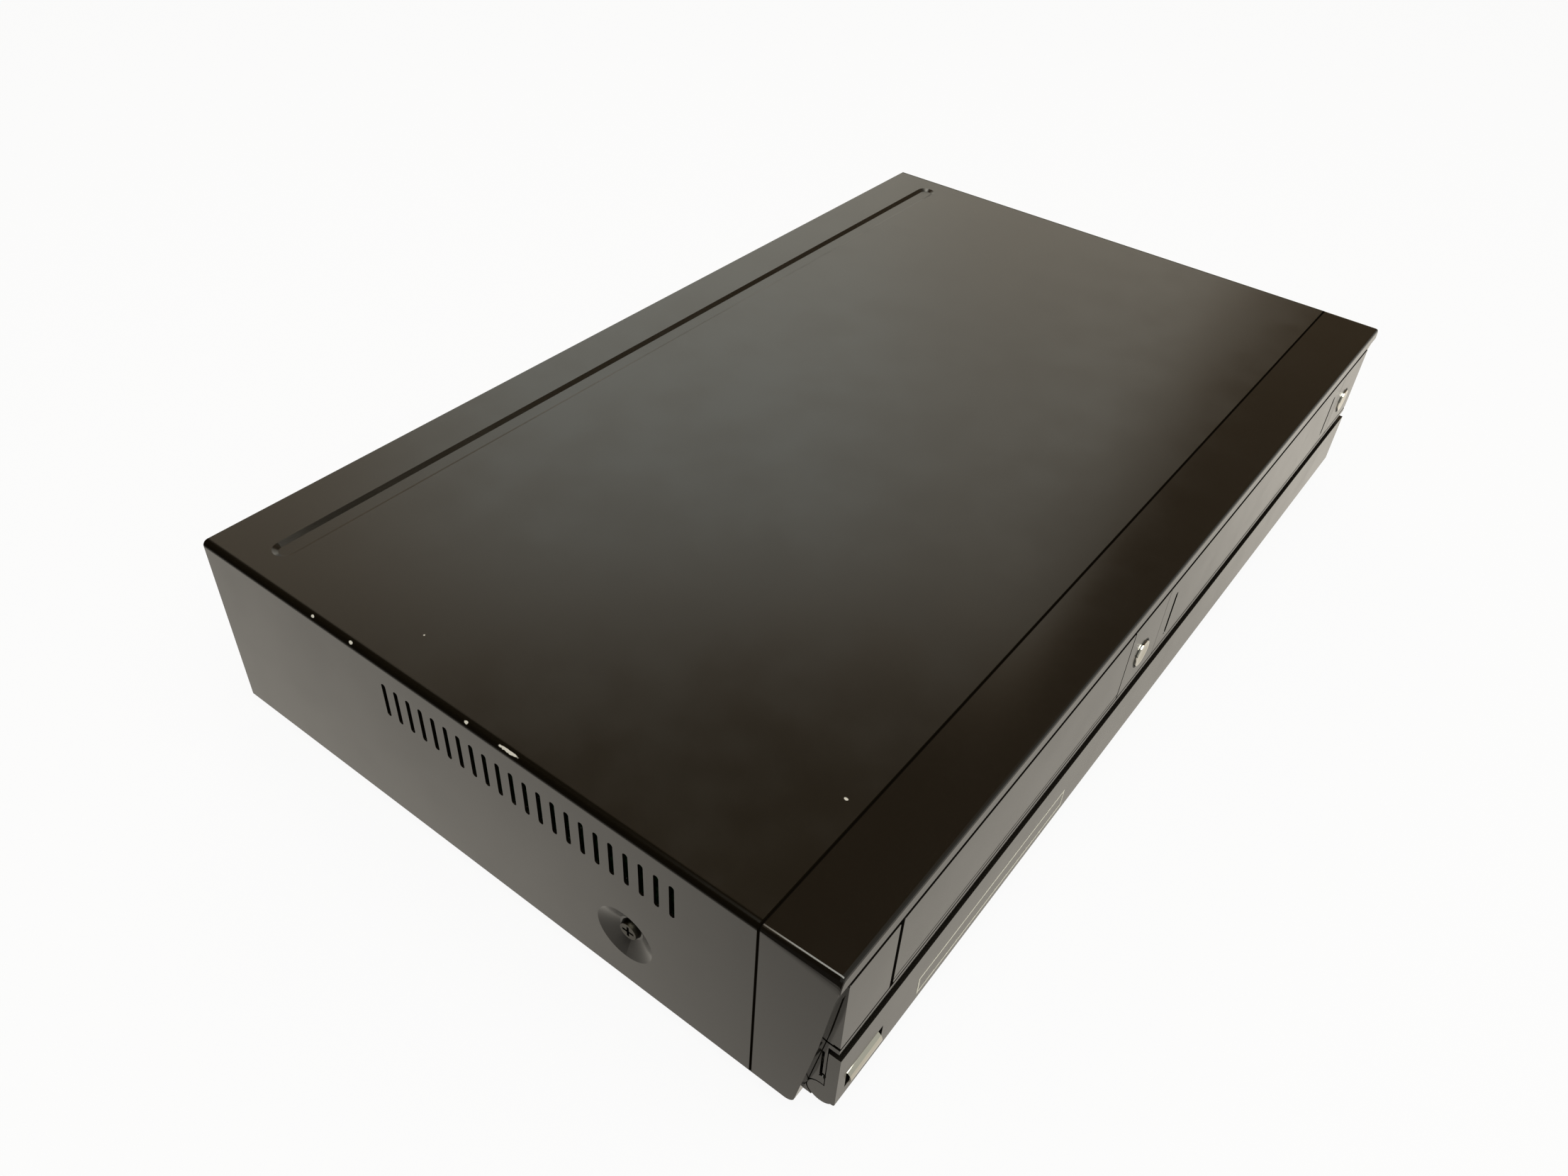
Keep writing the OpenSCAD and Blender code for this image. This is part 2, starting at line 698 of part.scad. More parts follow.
power_supports = [for (x = [power_x[0] + 7, power_x[1] - 8])
  for (s = [power_s + 6, board_back - 6]) [x, s]];
standoffs = concat(main_supports, power_supports);
fan_x = 135 - case_w / 2;
fan_z = top_z - 36;
fan_pitch = 7;
fan_hole_r = 2.6;
fan_hub_r = 9;
phono_collar_r = 4.2;
phono_x = [for (i = [0 : 2]) case_w / 2 - 195 + 16 * i];
phono_z = [base_z + 12, base_z + 27];
phono_places = [for (x = phono_x) for (z = phono_z) [x, z]];
scart_x = case_w / 2 - 121;
scart_w = 47;
scart_h = 15;
scart_z = [board_top + scart_h / 2, board_top + scart_h * 1.5 + 2];
hdmi_x = case_w / 2 - 221;
hdmi_w = 15;
hdmi_h = 5.6;
hdmi_z = board_top + hdmi_h / 2 + 1;
aerial_x = [case_w / 2 - 69, case_w / 2 - 45];
aerial_r = 4.75;
aerial_neck_r = aerial_r - 0.4;
aerial_base_t = 0.8;
aerial_z = board_top + 8;
inlet_x = 29 - case_w / 2;
inlet_w = 24;
inlet_h = 14;
inlet_z = board_top + inlet_h / 2 + 1;
socket_s = rear_s + 1;

// Main circuit board with a few of its larger chips.
module main_board() {
  color("#2f5a3a")
    difference() {
      union() {
        box(main_x[0], main_x[1], 8, main_split, board_z, board_top);
        box(main_split_x, main_x[1], main_split - 1, board_back, board_z, board_top);
      }
      for (p = concat(deck_posts, drive_posts))
        rod_z(board_z - 1, board_top + 1, p[0], p[1], post_r + gap);
    }
  color("#1d1d1f") {
    for (p = [[dvd_x - 26.75, 60], [dvd_x + 18.25, 100], [vcr_x - 53, 40]])
      box(p[0], p[0] + 24, p[1], p[1] + 24, board_top, board_top + 2);
    for (s = [30 : 22 : 96])
      box(button_dvd_x + 3, button_dvd_x + 14, s, s + 15, board_top, board_top + 1.6);
  }
}

// Power supply board.
module power_board() {
  color("#8a6a3a")
    box(power_x[0], power_x[1], power_s, board_back, board_z, board_top);
}

// Switching transformer: bobbin, winding and ferrite core.
module transformer() {
  tx = power_x[0] + 56;
  ts = power_s + 24;
  color("#c9a227") {
    box(tx - 17, tx + 17, ts - 14, ts + 14, board_top, board_top + 4);
    rod_z(board_top + 4, board_top + 24, tx, ts, 12);
    box(tx - 17, tx + 17, ts - 14, ts + 14, board_top + 24, board_top + 26);
  }
  color("#3b3b3d")
    difference() {
      box(tx - 22, tx + 22, ts - 6, ts + 6, board_top, board_top + 31);
      box(tx - 17, tx + 17, ts - 7, ts + 7, board_top - 1, board_top + 26);
    }
}

// One electrolytic capacitor standing on a board.
module capacitor(x, s, r, h) {
  difference() {
    rod_z(board_top, board_top + h, x, s, r);
    for (turn = [0, 90]) at(x, s, board_top + h) rotate(turn) cube([r, 0.5, 0.6], center = true);
  }
}

// Capacitors of the power supply and along the right of the main board.
module capacitors() {
  color("#22242c") {
    capacitor(power_x[0] + 93, power_s + 16, 9, 27);
    for (i = [0 : 2]) capacitor(power_x[0] + 87 + i * 14, power_s + 36, 5, 18);
    for (i = [0 : 3]) capacitor(main_x[1] - 7, 50 + i * 18, 4, 11);
    for (i = [0 : 2]) capacitor(vcr_x - bracket_in - 11, 160 + i * 14, 5, 14);
  }
}

// Finned aluminium heat sink on the power board.
module heat_sink() {
  hx = power_x[0] + 14;
  hs = power_s + 6;
  color("#b9bbbc") {
    box(hx, hx + 2.5, hs, hs + 34, board_top, board_top + 26);
    for (i = [0 : 6]) box(hx + 2.5, hx + 12, hs + i * 5.4, hs + i * 5.4 + 1.4, board_top, board_top + 26);
  }
}

// Tuner can with two aerial sockets through the rear sheet, each with a base ring outside it.
module tuner() {
  color("#a9abaa") {
    box(aerial_x[0] - 14, aerial_x[1] + 14, rear_s - 29, rear_s - sheet_t, board_top, board_top + 16);
    for (x = aerial_x)
      difference() {
        union() {
          rod_y(rear_s - sheet_t - 1, rear_s + eps, x, aerial_z, aerial_neck_r);
          rod_y(rear_s, rear_s + aerial_base_t, x, aerial_z, aerial_r + 2);
          rod_y(rear_s + aerial_base_t - eps, case_d + socket_reach, x, aerial_z, aerial_r);
        }
        rod_y(rear_s, case_d + socket_reach + 1, x, aerial_z, 3.6);
      }
    for (x = aerial_x) rod_y(rear_s - eps, case_d + socket_reach - 1, x, aerial_z, 1.1);
  }
}

// Rear phono sockets, one block each on the board, and the digital picture socket beside them.
module rear_jacks() {
  block_x = 7.5;
  block_z = [board_top, (phono_z[0] + phono_z[1]) / 2, phono_z[1] + 6];
  color("#d0cdc4")
    for (x = phono_x) for (i = [0, 1])
      difference() {
        union() {
          box(x - block_x, x + block_x, rear_s - 13, rear_s - sheet_t, block_z[i], block_z[i + 1]);
          rod_y(rear_s - 3, socket_s + 1, x, phono_z[i], phono_collar_r);
        }
        rod_y(rear_s - 8, socket_s + 2, x, phono_z[i], phono_bore_r);
      }
  color("#b4b6b6")
    difference() {
      union() {
        box(hdmi_x - hdmi_w / 2, hdmi_x + hdmi_w / 2, rear_s - 12, socket_s,
          hdmi_z - hdmi_h / 2, hdmi_z + hdmi_h / 2);
        box(hdmi_x - hdmi_w / 2, hdmi_x + hdmi_w / 2, rear_s - 12, rear_s - 2, board_top, hdmi_z);
      }
      box(hdmi_x - hdmi_w / 2 + 0.6, hdmi_x + hdmi_w / 2 - 0.6, rear_s - 10, socket_s + 1,
        hdmi_z - hdmi_h / 2 + 0.6, hdmi_z + hdmi_h / 2 - 0.6);
    }
}

// Two stacked scart-type sockets, each a shell with a slotted tongue.
module scart_sockets() {
  color("#262626")
    for (z = scart_z)
      difference() {
        box(scart_x - scart_w / 2, scart_x + scart_w / 2, rear_s - 16, socket_s + 1, z - scart_h / 2,
          z + scart_h / 2);
        box(scart_x - scart_w / 2 + 1.5, scart_x + scart_w / 2 - 1.5, rear_s - 10, socket_s + 2,
          z - scart_h / 2 + 1.5, z - 1.2);
        box(scart_x - scart_w / 2 + 1.5, scart_x + scart_w / 2 - 1.5, rear_s - 10, socket_s + 2,
          z + 1.2, z + scart_h / 2 - 1.5);
      }
  color("#262626")
    box(scart_x - scart_w / 2, scart_x + scart_w / 2, rear_s - 16, rear_s - 4, board_top + scart_h,
      board_top + scart_h + 2);
}

// Two-pin mains inlet with a round-ended well.
module mains_inlet() {
  color("#1c1c1c") {
    difference() {
      union() {
        box(inlet_x - inlet_w / 2, inlet_x + inlet_w / 2, rear_s - 20, rear_s - sheet_t, board_top,
          inlet_z + inlet_h / 2);
        box(inlet_x - inlet_w / 2, inlet_x + inlet_w / 2, rear_s - 2, socket_s + 1, inlet_z - inlet_h / 2,
          inlet_z + inlet_h / 2);
      }
      slab_y(rear_s - 13, socket_s + 3) translate([inlet_x, inlet_z]) rotate(90) slot_2d(9, 18);
    }
    for (side = [-1, 1]) rod_y(rear_s - 14, rear_s - 2, inlet_x + side * 4.3, inlet_z, 1.15);
  }
}

// Square fan frame with a round duct and a hub on three struts.
module fan_frame() {
  back = rear_s - sheet_t;
  color("#202020") {
    difference() {
      box(fan_x - fan_w / 2, fan_x + fan_w / 2, back - fan_d, back, fan_z - fan_w / 2, fan_z + fan_w / 2);
      rod_y(back - fan_d - 1, back + 1, fan_x, fan_z, fan_w / 2 - 1.5);
      for (x = [-1, 1]) for (z = [-1, 1])
        rod_y(back - fan_d - 1, back + 1, fan_x + x * (fan_w / 2 - 3), fan_z + z * (fan_w / 2 - 3), 1.6);
    }
    difference() {
      union() {
        rod_y(back - 1.5, back, fan_x, fan_z, fan_hub_r);
        for (turn = [90, 210, 330])
          at(fan_x, back - 1.5, fan_z) rotate([0, turn, 0]) translate([0, 0, -1])
            cube([fan_w / 2 - 1, 1.5, 2]);
      }
      rod_y(back - 3, back + 1, fan_x, fan_z, 1 + pin_play);
    }
  }
}

// Fan rotor: hub, shaft and seven pitched blades.
module fan_rotor() {
  back = rear_s - sheet_t;
  front = back - fan_d + 0.5;
  blade_count = 7;
  color("#26282a") {
    rod_y(front, back - 1.5 - gap, fan_x, fan_z, fan_hub_r);
    rod_y(back - 2, back - 0.2, fan_x, fan_z, 1);
    intersection() {
      rod_y(front, back - 1.5 - gap, fan_x, fan_z, fan_w / 2 - 2.2);
      union()
        for (i = [0 : blade_count - 1])
          at(fan_x, (front + back - 2) / 2, fan_z) rotate([0, i * 360 / blade_count, 0])
            rotate([40, 0, 0]) translate([fan_hub_r - 1, -4, -0.5]) cube([fan_w / 2, 8, 1]);
    }
  }
}

// Flat ribbon cables between the front board, the drive and the main board.
module ribbon_cables() {
  strip_t = 0.3;
  strip_z = base_z + 10;
  color("#e4e2da") {
    box(button_dvd_x - 8, button_dvd_x + 8, board_s + board_t, 12, strip_z, strip_z + strip_t);
    box(button_dvd_x - 8, button_dvd_x + 8, 12 - strip_t, 12, board_top, strip_z + strip_t / 2);
    box(dvd_x - 10, dvd_x + 10, 130, 130 + strip_t, board_top, housing_z);
  }
}

/* [Hidden] */
tray_z = row_lo + 11.1;
spindle_s = 48;
lift_s = 150;
lift_z = tray_z - 6;
base_half = 52;
base_front = 24;
housing_half = tray_w / 2 + 5.6;
housing_top = tray_z + 13;
housing_back = 168;
rack_x = dvd_x + tray_w / 2 - 6;
rack_s = panel_back + 7.6;
rack_l = tray_d - 7.6;
pinion_s = 12;
pinion_r = gear_module * pinion_teeth / 2;
pinion_x = rack_x - pinion_r;
lens_s = spindle_s + 24;
rod_z0 = lift_z + 4;
sled_rod_r = 1.2;
sled_x = 24;
screw_x = 38;
bridge_t = 1.2;
puck_r = 12;
puck_hub_r = 8.6;

// Drops its children to the loader's lowered position, about the pivot at its back.
module lowered() {
  at(0, lift_s, lift_z) rotate([loader_tilt, 0, 0]) translate([0, -seam_y - lift_s, -lift_z]) children();
}

// Disc drive housing: floor, walls, tray guides and pivot posts.
module dvd_housing() {
  wall = 2;
  color("#34343a") {
    difference() {
      box(dvd_x - housing_half, dvd_x + housing_half, 1, housing_back, housing_z, housing_top);
      box(dvd_x - housing_half + wall, dvd_x + housing_half - wall, 0, housing_back - wall,
        housing_z + wall, housing_top + 1);
    }
    for (side = [-1, 1]) {
      x0 = dvd_x + min(side * (tray_w / 2 - 1.5), side * (housing_half - wall));
      x1 = dvd_x + max(side * (tray_w / 2 - 1.5), side * (housing_half - wall));
      box(x0, x1, 1, housing_back - wall, tray_z - gap - 1.5, tray_z - gap);
      box(x0, x1, 1, housing_back - wall, tray_z + tray_t + gap, tray_z + tray_t + gap + 1.5);
      difference() {
        box(dvd_x + side * (base_half + 3.1) - 2.5, dvd_x + side * (base_half + 3.1) + 2.5,
          lift_s - 5, lift_s + 5, housing_z + wall, lift_z + 4);
        rod_x(dvd_x - base_half - 10, dvd_x + base_half + 10, lift_s, lift_z, 2 + pin_play);
      }
    }
  }
}

// Steel strap over the drive that carries the clamp puck.
module clamp_bridge() {
  color("#b5b6b4")
    difference() {
      union() {
        box(dvd_x - housing_half, dvd_x + housing_half, spindle_s - 16, spindle_s + 16, housing_top,
          housing_top + bridge_t);
        for (s = [-16, 15]) box(dvd_x - housing_half + 10, dvd_x + housing_half - 10, spindle_s + s,
          spindle_s + s + 1, housing_top + bridge_t, housing_top + 3);
      }
      rod_z(housing_top - 1, housing_top + 4, dvd_x, spindle_s, puck_hub_r + 0.4);
    }
}

// Clamp puck that turns with the disc, hung in the bridge.
module clamp_puck() {
  hub_top = housing_top + bridge_t + gap;
  color("#1f1f22")
    difference() {
      union() {
        rod_z(housing_top - 3, housing_top - 0.6, dvd_x, spindle_s, puck_r);
        rod_z(housing_top - 1, hub_top + 0.5, dvd_x, spindle_s, puck_hub_r);
        rod_z(hub_top, hub_top + 1.2, dvd_x, spindle_s, puck_r - 1);
      }
      rod_z(housing_top - 4, housing_top - 2, dvd_x, spindle_s, 7.8);
    }
}

// Disc tray with recesses for both disc sizes, the loader's opening and a toothed rack below.
module disc_tray() {
  color("#2a2a2c") {
    difference() {
      box(dvd_x - tray_w / 2, dvd_x + tray_w / 2, panel_back, panel_back + tray_d, tray_z, tray_z + tray_t);
      rod_z(tray_z + tray_t - 2, tray_z + tray_t + 1, dvd_x, spindle_s, disc_r);
      rod_z(tray_z + tray_t - 3.2, tray_z + tray_t + 1, dvd_x, spindle_s, small_disc_r);
      rod_z(tray_z - 1, tray_z + tray_t + 1, dvd_x, spindle_s, turntable_r + 3.5);
      box(dvd_x - turntable_r - 3, dvd_x + turntable_r + 3, spindle_s, panel_back + tray_d - 24, tray_z - 1,
        tray_z + tray_t + 1);
    }
    at(rack_x, rack_s, tray_z - 4) linear_extrude(4) rotate(90) rack_2d(rack_l, 3.5, gear_module);
  }
}

// Door on the front of the disc tray, with a shallow groove along its foot.
module tray_door() {
  color("#4a4843")
    difference() {
      slab_y(panel_s, panel_back) translate([tray_x0, row_lo]) plate_2d(tray_door_w, row_h, 0.6);
      box(tray_x0 - 1, tray_x1 + 1, panel_s - 1, panel_s + 0.4, row_lo + 1.6, row_lo + 2.1);
    }
}

// Pinion that drives the tray's rack, on the shaft of the tray motor.
module tray_pinion() {
  near = (pinion_s - rack_s) / (PI * gear_module) - 0.5;
  phase = (0.5 - (near - round(near))) * 360 / pinion_teeth;
  color("#d8d4c8") {
    at(pinion_x, pinion_s, tray_z - 4) linear_extrude(3.6) rotate(phase) gear_2d(pinion_teeth, gear_module);
    rod_z(lift_z - 6, tray_z - 3.9, pinion_x, pinion_s, 1.5);
  }
}

// Loader base: plate, flanges, pivot pins and bearings for the rods and screw.
module loader_base() {
  plate_t = 2;
  color("#8f9294")
    lowered()
      difference() {
        union() {
          box(dvd_x - base_half, dvd_x + base_half, base_front, lift_s - 2, lift_z, lift_z + plate_t);
          for (side = [-1, 1]) {
            slab_x(dvd_x + side * (base_half - 0.75) - 0.75, dvd_x + side * (base_half - 0.75) + 0.75) {
              translate([base_front, lift_z - 3]) square([lift_s - base_front, 4]);
              translate([lift_s, lift_z]) circle(4);
            }
            rod_x(dvd_x + side * (base_half + 2.3) - 3.2, dvd_x + side * (base_half + 2.3) + 3.2,
              lift_s, lift_z, 2);
            for (s = [58, 132]) box(dvd_x + side * sled_x - 3, dvd_x + side * sled_x + 3, s, s + 3,
              lift_z + plate_t, rod_z0 + 1.6);
          }
          for (s = [60, 131])
            box(dvd_x + screw_x - 3, dvd_x + screw_x + 3, s, s + 3, lift_z + plate_t, rod_z0 + 1.8);
        }
        box(dvd_x - sled_x - 4.5, dvd_x + sled_x + 4.5, 62, 132, lift_z - 1, lift_z + plate_t + 0.001);
        rod_z(lift_z - 1, lift_z + plate_t + 1, dvd_x, spindle_s, 3.2);
        for (side = [-1, 1]) rod_y(50, 140, dvd_x + side * sled_x, rod_z0, sled_rod_r);
        rod_y(50, 140, dvd_x + screw_x, rod_z0, sled_rod_r + pin_play);
      }
}

// Motors on the loader base: the spindle motor with its bearing, and the sled motor.
module loader_motors() {
  color("#c3c5c6")
    lowered() {
      difference() {
        union() {
          rod_z(lift_z - 4.4, lift_z, dvd_x, spindle_s, 12);
          rod_z(lift_z - 1, lift_z + 6.5, dvd_x, spindle_s, 3);
        }
        rod_z(lift_z - 3.4, lift_z + 8, dvd_x, spindle_s, 1.5 + pin_play);
      }
      rod_z(lift_z - 12, lift_z, dvd_x + screw_x + 2, 138, 6);
    }
}

// Two guide rods of the laser sled.
module sled_rods() {
  color("#d6d8d9")
    lowered()
      for (side = [-1, 1]) rod_y(58, 135, dvd_x + side * sled_x, rod_z0, sled_rod_r);
}

// Turntable with its centring cone, rotor cup and shaft.
module turntable() {
  top = tray_z + 7.9;
  color("#303236")
    lowered() {
      rod_z(lift_z + 7, top - 2, dvd_x, spindle_s, turntable_r - 2);
      rod_z(top - 2.3, top, dvd_x, spindle_s, turntable_r);
      at(dvd_x, spindle_s, top) cylinder(h = 2.5, r1 = 7.4, r2 = 6.5);
      rod_z(lift_z - 3, lift_z + 7.5, dvd_x, spindle_s, 1.5);
    }
}

// Laser sled on its two rods, with the lens turret and the arm to the screw.
module laser_sled() {
  color("#55585c")
    lowered() {
      difference() {
        union() {
          box(dvd_x - sled_x - 3, dvd_x + sled_x + 3, lens_s - 7.5, lens_s + 18,
            lift_z + 2.3, rod_z0 + 1.7);
          box(dvd_x + sled_x, dvd_x + screw_x - 1.2 - gap, lens_s, lens_s + 8, rod_z0 - 0.8, rod_z0 + 1.7);
          box(dvd_x - 11, dvd_x + 11, lens_s - 7.5, lens_s + 12, rod_z0, tray_z + 4);
        }
        for (side = [-1, 1])
          rod_y(lens_s - 9, lens_s + 20, dvd_x + side * sled_x, rod_z0, sled_rod_r + pin_play);
      }
      rod_z(tray_z + 3.9, tray_z + 5.2, dvd_x, lens_s, 2.6);
    }
}

// Lead screw of the laser sled.
module sled_screw() {
  color("#d6d8d9")
    lowered() {
      rod_y(59, 135.5, dvd_x + screw_x, rod_z0, sled_rod_r);
      rod_y(134.5, 137, dvd_x + screw_x, rod_z0, 1.8);
    }
}

/* [Hidden] */
carriage_in = cassette_w / 2 + 0.6;
carriage_t = 1;
carriage_out = carriage_in + carriage_t;
carriage_s = [10, 100];
ledge_w = 20;
bracket_in = carriage_out + 4.4;
bracket_t = 1.2;
bracket_s = [6, 130];
guide_pin_r = 2;
guide_pins = [[22, row_lo + 11.1], [88, row_lo + 11.1]];
carry_l = sqrt(carry_back * carry_back + carry_down * carry_down);
carry_angle = atan2(carry_down, carry_back);
drive_point = [70, row_lo + 5.1];
drive_back = carry_l + 5;
drive_teeth = 16;
drive_r = gear_module * drive_teeth / 2;
drive_axis = [drive_point[0] - drive_r * sin(carry_angle), drive_point[1] - drive_r * cos(carry_angle)];
reel_s = 72;
reel_shaft_r = 2.5;
drum_s = 167;
drum_x = vcr_x;
drum_z = deck_top + 3.5;
drum_shaft_r = 3;
drum_split = 12;
capstan_x = vcr_x + 60;
capstan_s = 140;
flywheel_z = deck_z - 8;
pinch_pivot = [vcr_x + 85, 150];
pinch_arm_l = 18.6;
pinch_rest = 164.4;
pinch_z = deck_top + 7.5;
thread_x = 27;
thread_s = 124;
thread_angle = 15;
thread_peg_r = 2.2;

// Mirrors its children about the middle of the tape deck; x is counted from there.
module deck_sides() {
  translate([vcr_x, 0, 0]) both_sides() children();
}

// Steel plate that carries the tape deck.
module deck_plate() {
  color("#a3a5a4") {
    difference() {
      union() {
        box(vcr_x - bracket_in - bracket_t, vcr_x + bracket_in + bracket_t, 4, deck_back, deck_z,
          deck_top);
        rod_z(deck_top - eps, pinch_z + 17, pinch_pivot[0], pinch_pivot[1], screw_r);
      }
      rod_z(deck_z - 1, deck_top + 1, capstan_x, capstan_s, 4 + gap);
      for (side = [-1, 1])
        rod_z(deck_z - 1, deck_top + 1, vcr_x + side * reel_gap / 2, reel_s, reel_shaft_r + pin_play);
      deck_sides()
        at(thread_x + thread_run / 2 * sin(thread_angle), thread_s + thread_run / 2 * cos(thread_angle),
          deck_z - 1)
          linear_extrude(deck_t + 2) rotate(-thread_angle)
            slot_2d(2 * thread_peg_r + 2 * gap, thread_run + 2 * thread_peg_r + 2 * gap);
    }
  }
}

// Side plates of the cassette carriage, each with two sloping guide slots and a foot.
module deck_brackets() {
  color("#b0b2b1") {
    difference() {
      deck_sides() {
        slab_x(bracket_in, bracket_in + bracket_t) difference() {
          translate([bracket_s[0], deck_top])
            square([bracket_s[1] - bracket_s[0], row_hi - 1.4 - deck_top]);
          for (p = guide_pins)
            translate([p[0] + carry_back / 2, p[1] - carry_down / 2]) rotate(-carry_angle - 90)
              slot_2d(2 * guide_pin_r + 2 * gap, carry_l + 2 * guide_pin_r + 2 * gap);
        }
        box(bracket_in - 3.6, bracket_in, bracket_s[1] - 12, bracket_s[1], deck_top, deck_top + bracket_t);
      }
      rod_x(vcr_x, case_w / 2, drive_axis[0], drive_axis[1], 2 + pin_play);
    }
  }
}

// Cassette carriage: side walls with ledges, cross strap, guide pins and a drive rack.
module carriage() {
  strap_z = row_lo + cassette_h + 1.4;
  color("#4c4f54") {
    deck_sides() {
      box(carriage_in, carriage_out, carriage_s[0], carriage_s[1], row_lo - 1.2, strap_z + 1.2);
      box(carriage_in - ledge_w, carriage_in + eps, carriage_s[0], carriage_s[1], row_lo - 1.2, row_lo);
      box(-eps, carriage_in + eps, 60, 84, strap_z, strap_z + 1.2);
      box(carriage_in - 8, carriage_in + eps, carriage_s[1] - 1.2, carriage_s[1], row_lo - eps, strap_z);
      for (p = guide_pins) rod_x(carriage_out - eps, bracket_in + bracket_t + 1.2, p[0], p[1], guide_pin_r);
    }
    translate([vcr_x, 0, 0])
      slab_x(carriage_out - eps, carriage_out + 3)
        translate(drive_point) rotate(-carry_angle) translate([-drive_back, 0]) mirror([0, 1])
          rack_2d(drive_back + 5, 3.5, gear_module);
  }
}

// Gear that drives the carriage's rack, with its shaft and collar.
module carriage_gear() {
  near = drive_back / (PI * gear_module) - 0.5;
  offset_teeth = near - round(near);
  phase = 90 - carry_angle + (offset_teeth - 0.5) * 360 / drive_teeth;
  color("#d8d4c8")
    translate([vcr_x, 0, 0]) {
      slab_x(carriage_out + gap, carriage_out + 2.9)
        translate(drive_axis) rotate(phase) gear_2d(drive_teeth, gear_module);
      rod_x(carriage_out + gap, bracket_in + bracket_t + 4, drive_axis[0], drive_axis[1], 2);
      rod_x(bracket_in + bracket_t + gap, bracket_in + bracket_t + 3, drive_axis[0], drive_axis[1], 4);
    }
}

// Cassette flap: plate with two grip recesses, hinge ears and stub pins.
module vcr_flap() {
  mark_in = 8.8;
  mark_depth = 0.7;
  color("#4a4843") {
    difference() {
      slab_y(panel_s, panel_back) translate([flap_x0, row_lo]) plate_2d(flap_w, row_h, 0.4);
      slab_y(panel_s - 1, panel_s + mark_depth)
        for (x = [flap_x0 + mark_in, flap_x1 - mark_in]) translate([x, row_lo + 13.5]) slot_2d(2.2, 20);
    }
    for (side = [0, 1]) {
      ear = side == 0 ? flap_x0 + 0.4 : flap_x1 - 3.4;
      pin = side == 0 ? flap_x0 - 1.6 : flap_x1 - 1;
      slab_x(ear, ear + 3) {
        translate([flap_pivot_s, flap_pivot_z]) circle(flap_ear_r);
        translate([panel_back - eps, flap_pivot_z - flap_ear_r])
          square([flap_pivot_s - panel_back + eps, 2 * flap_ear_r - 1.2]);
      }
      rod_x(pin, pin + 2.6, flap_pivot_s, flap_pivot_z, flap_pin_r);
    }
  }
}

// Lower drum on its pedestal, leaning towards the cassette.
module lower_drum() {
  color("#c9cacc") {
    rod_z(deck_top, drum_z + 1, drum_x, drum_s, drum_r / 2);
    at(drum_x, drum_s, drum_z) rotate([drum_tilt, 0, 0])
      difference() {
        cylinder(h = drum_split, r = drum_r);
        translate([0, 0, 3]) cylinder(h = drum_split, r = drum_shaft_r + pin_play);
      }
  }
}

// Spinning upper drum with its shaft, hub ring and head notches.
module head_drum() {
  color("#dcdddd")
    at(drum_x, drum_s, drum_z) rotate([drum_tilt, 0, 0]) {
      difference() {
        translate([0, 0, drum_split + gap]) cylinder(h = 12, r = drum_r);
        translate([0, 0, drum_split + 10]) cylinder(h = 6, r = drum_r - 9);
        for (turn = [0, 90]) rotate(turn) cube([2 * drum_r + 2, 4, 2 * drum_split + 3], center = true);
      }
      translate([0, 0, drum_split + 1.5]) cylinder(h = 10, r = drum_r / 3);
      translate([0, 0, 4]) cylinder(h = drum_split, r = drum_shaft_r);
    }
}

// Capstan: flywheel and shaft.
module capstan() {
  color("#cfd1d2") {
    rod_z(flywheel_z, flywheel_z + 4, capstan_x, capstan_s, flywheel_r);
    rod_z(flywheel_z - 2, pinch_z + 17, capstan_x, capstan_s, capstan_r);
  }
}

// Arm of the pinch roller, with its pivot sleeve and the roller's shaft.
module pinch_arm() {
  tip = [pinch_pivot[0] + pinch_arm_l * cos(pinch_rest), pinch_pivot[1] + pinch_arm_l * sin(pinch_rest)];
  color("#8b8d90") {
    difference() {
      union() {
        at(pinch_pivot[0], pinch_pivot[1], deck_top + 2) {
          linear_extrude(2) {
            rotate(pinch_rest) translate([0, -3]) square([pinch_arm_l, 6]);
            circle(4);
            translate([tip[0] - pinch_pivot[0], tip[1] - pinch_pivot[1]]) circle(4);
          }
          cylinder(h = 14, r = 3);
        }
      }
      rod_z(deck_top, pinch_z + 20, pinch_pivot[0], pinch_pivot[1], screw_r + pin_play);
    }
    rod_z(deck_top + 3, pinch_z + 16.5, tip[0], tip[1], 1.5);
  }
}

// Rubber pinch roller on its arm's shaft.
module pinch_roller() {
  tip = [pinch_pivot[0] + pinch_arm_l * cos(pinch_rest), pinch_pivot[1] + pinch_arm_l * sin(pinch_rest)];
  color("#1b1b1b")
    difference() {
      rod_z(pinch_z, pinch_z + 15, tip[0], tip[1], pinch_r);
      rod_z(pinch_z - 1, pinch_z + 16, tip[0], tip[1], 1.5 + pin_play);
    }
}

// Reel table with a splined hub and a shaft through the deck.
module reel(side) {
  x = vcr_x + side * reel_gap / 2;
  color("#e1dfd8") {
    rod_z(deck_top + 0.4, deck_top + 1.9, x, reel_s, reel_r);
    rod_z(deck_top + 1.5, deck_top + 4, x, reel_s, 11);
    rod_z(deck_top + 3, deck_top + 13, x, reel_s, 7);
    for (turn = [0, 120, 240])
      at(x, reel_s, deck_top + 3) rotate(turn) translate([5, -1, 0]) cube([5, 2, 9]);
    rod_z(deck_z - 3, deck_top + 1, x, reel_s, reel_shaft_r);
  }
}

// Supply reel.
module reel_supply() {
  reel(-1);
}

// Take-up reel.
module reel_takeup() {
  reel(1);
}

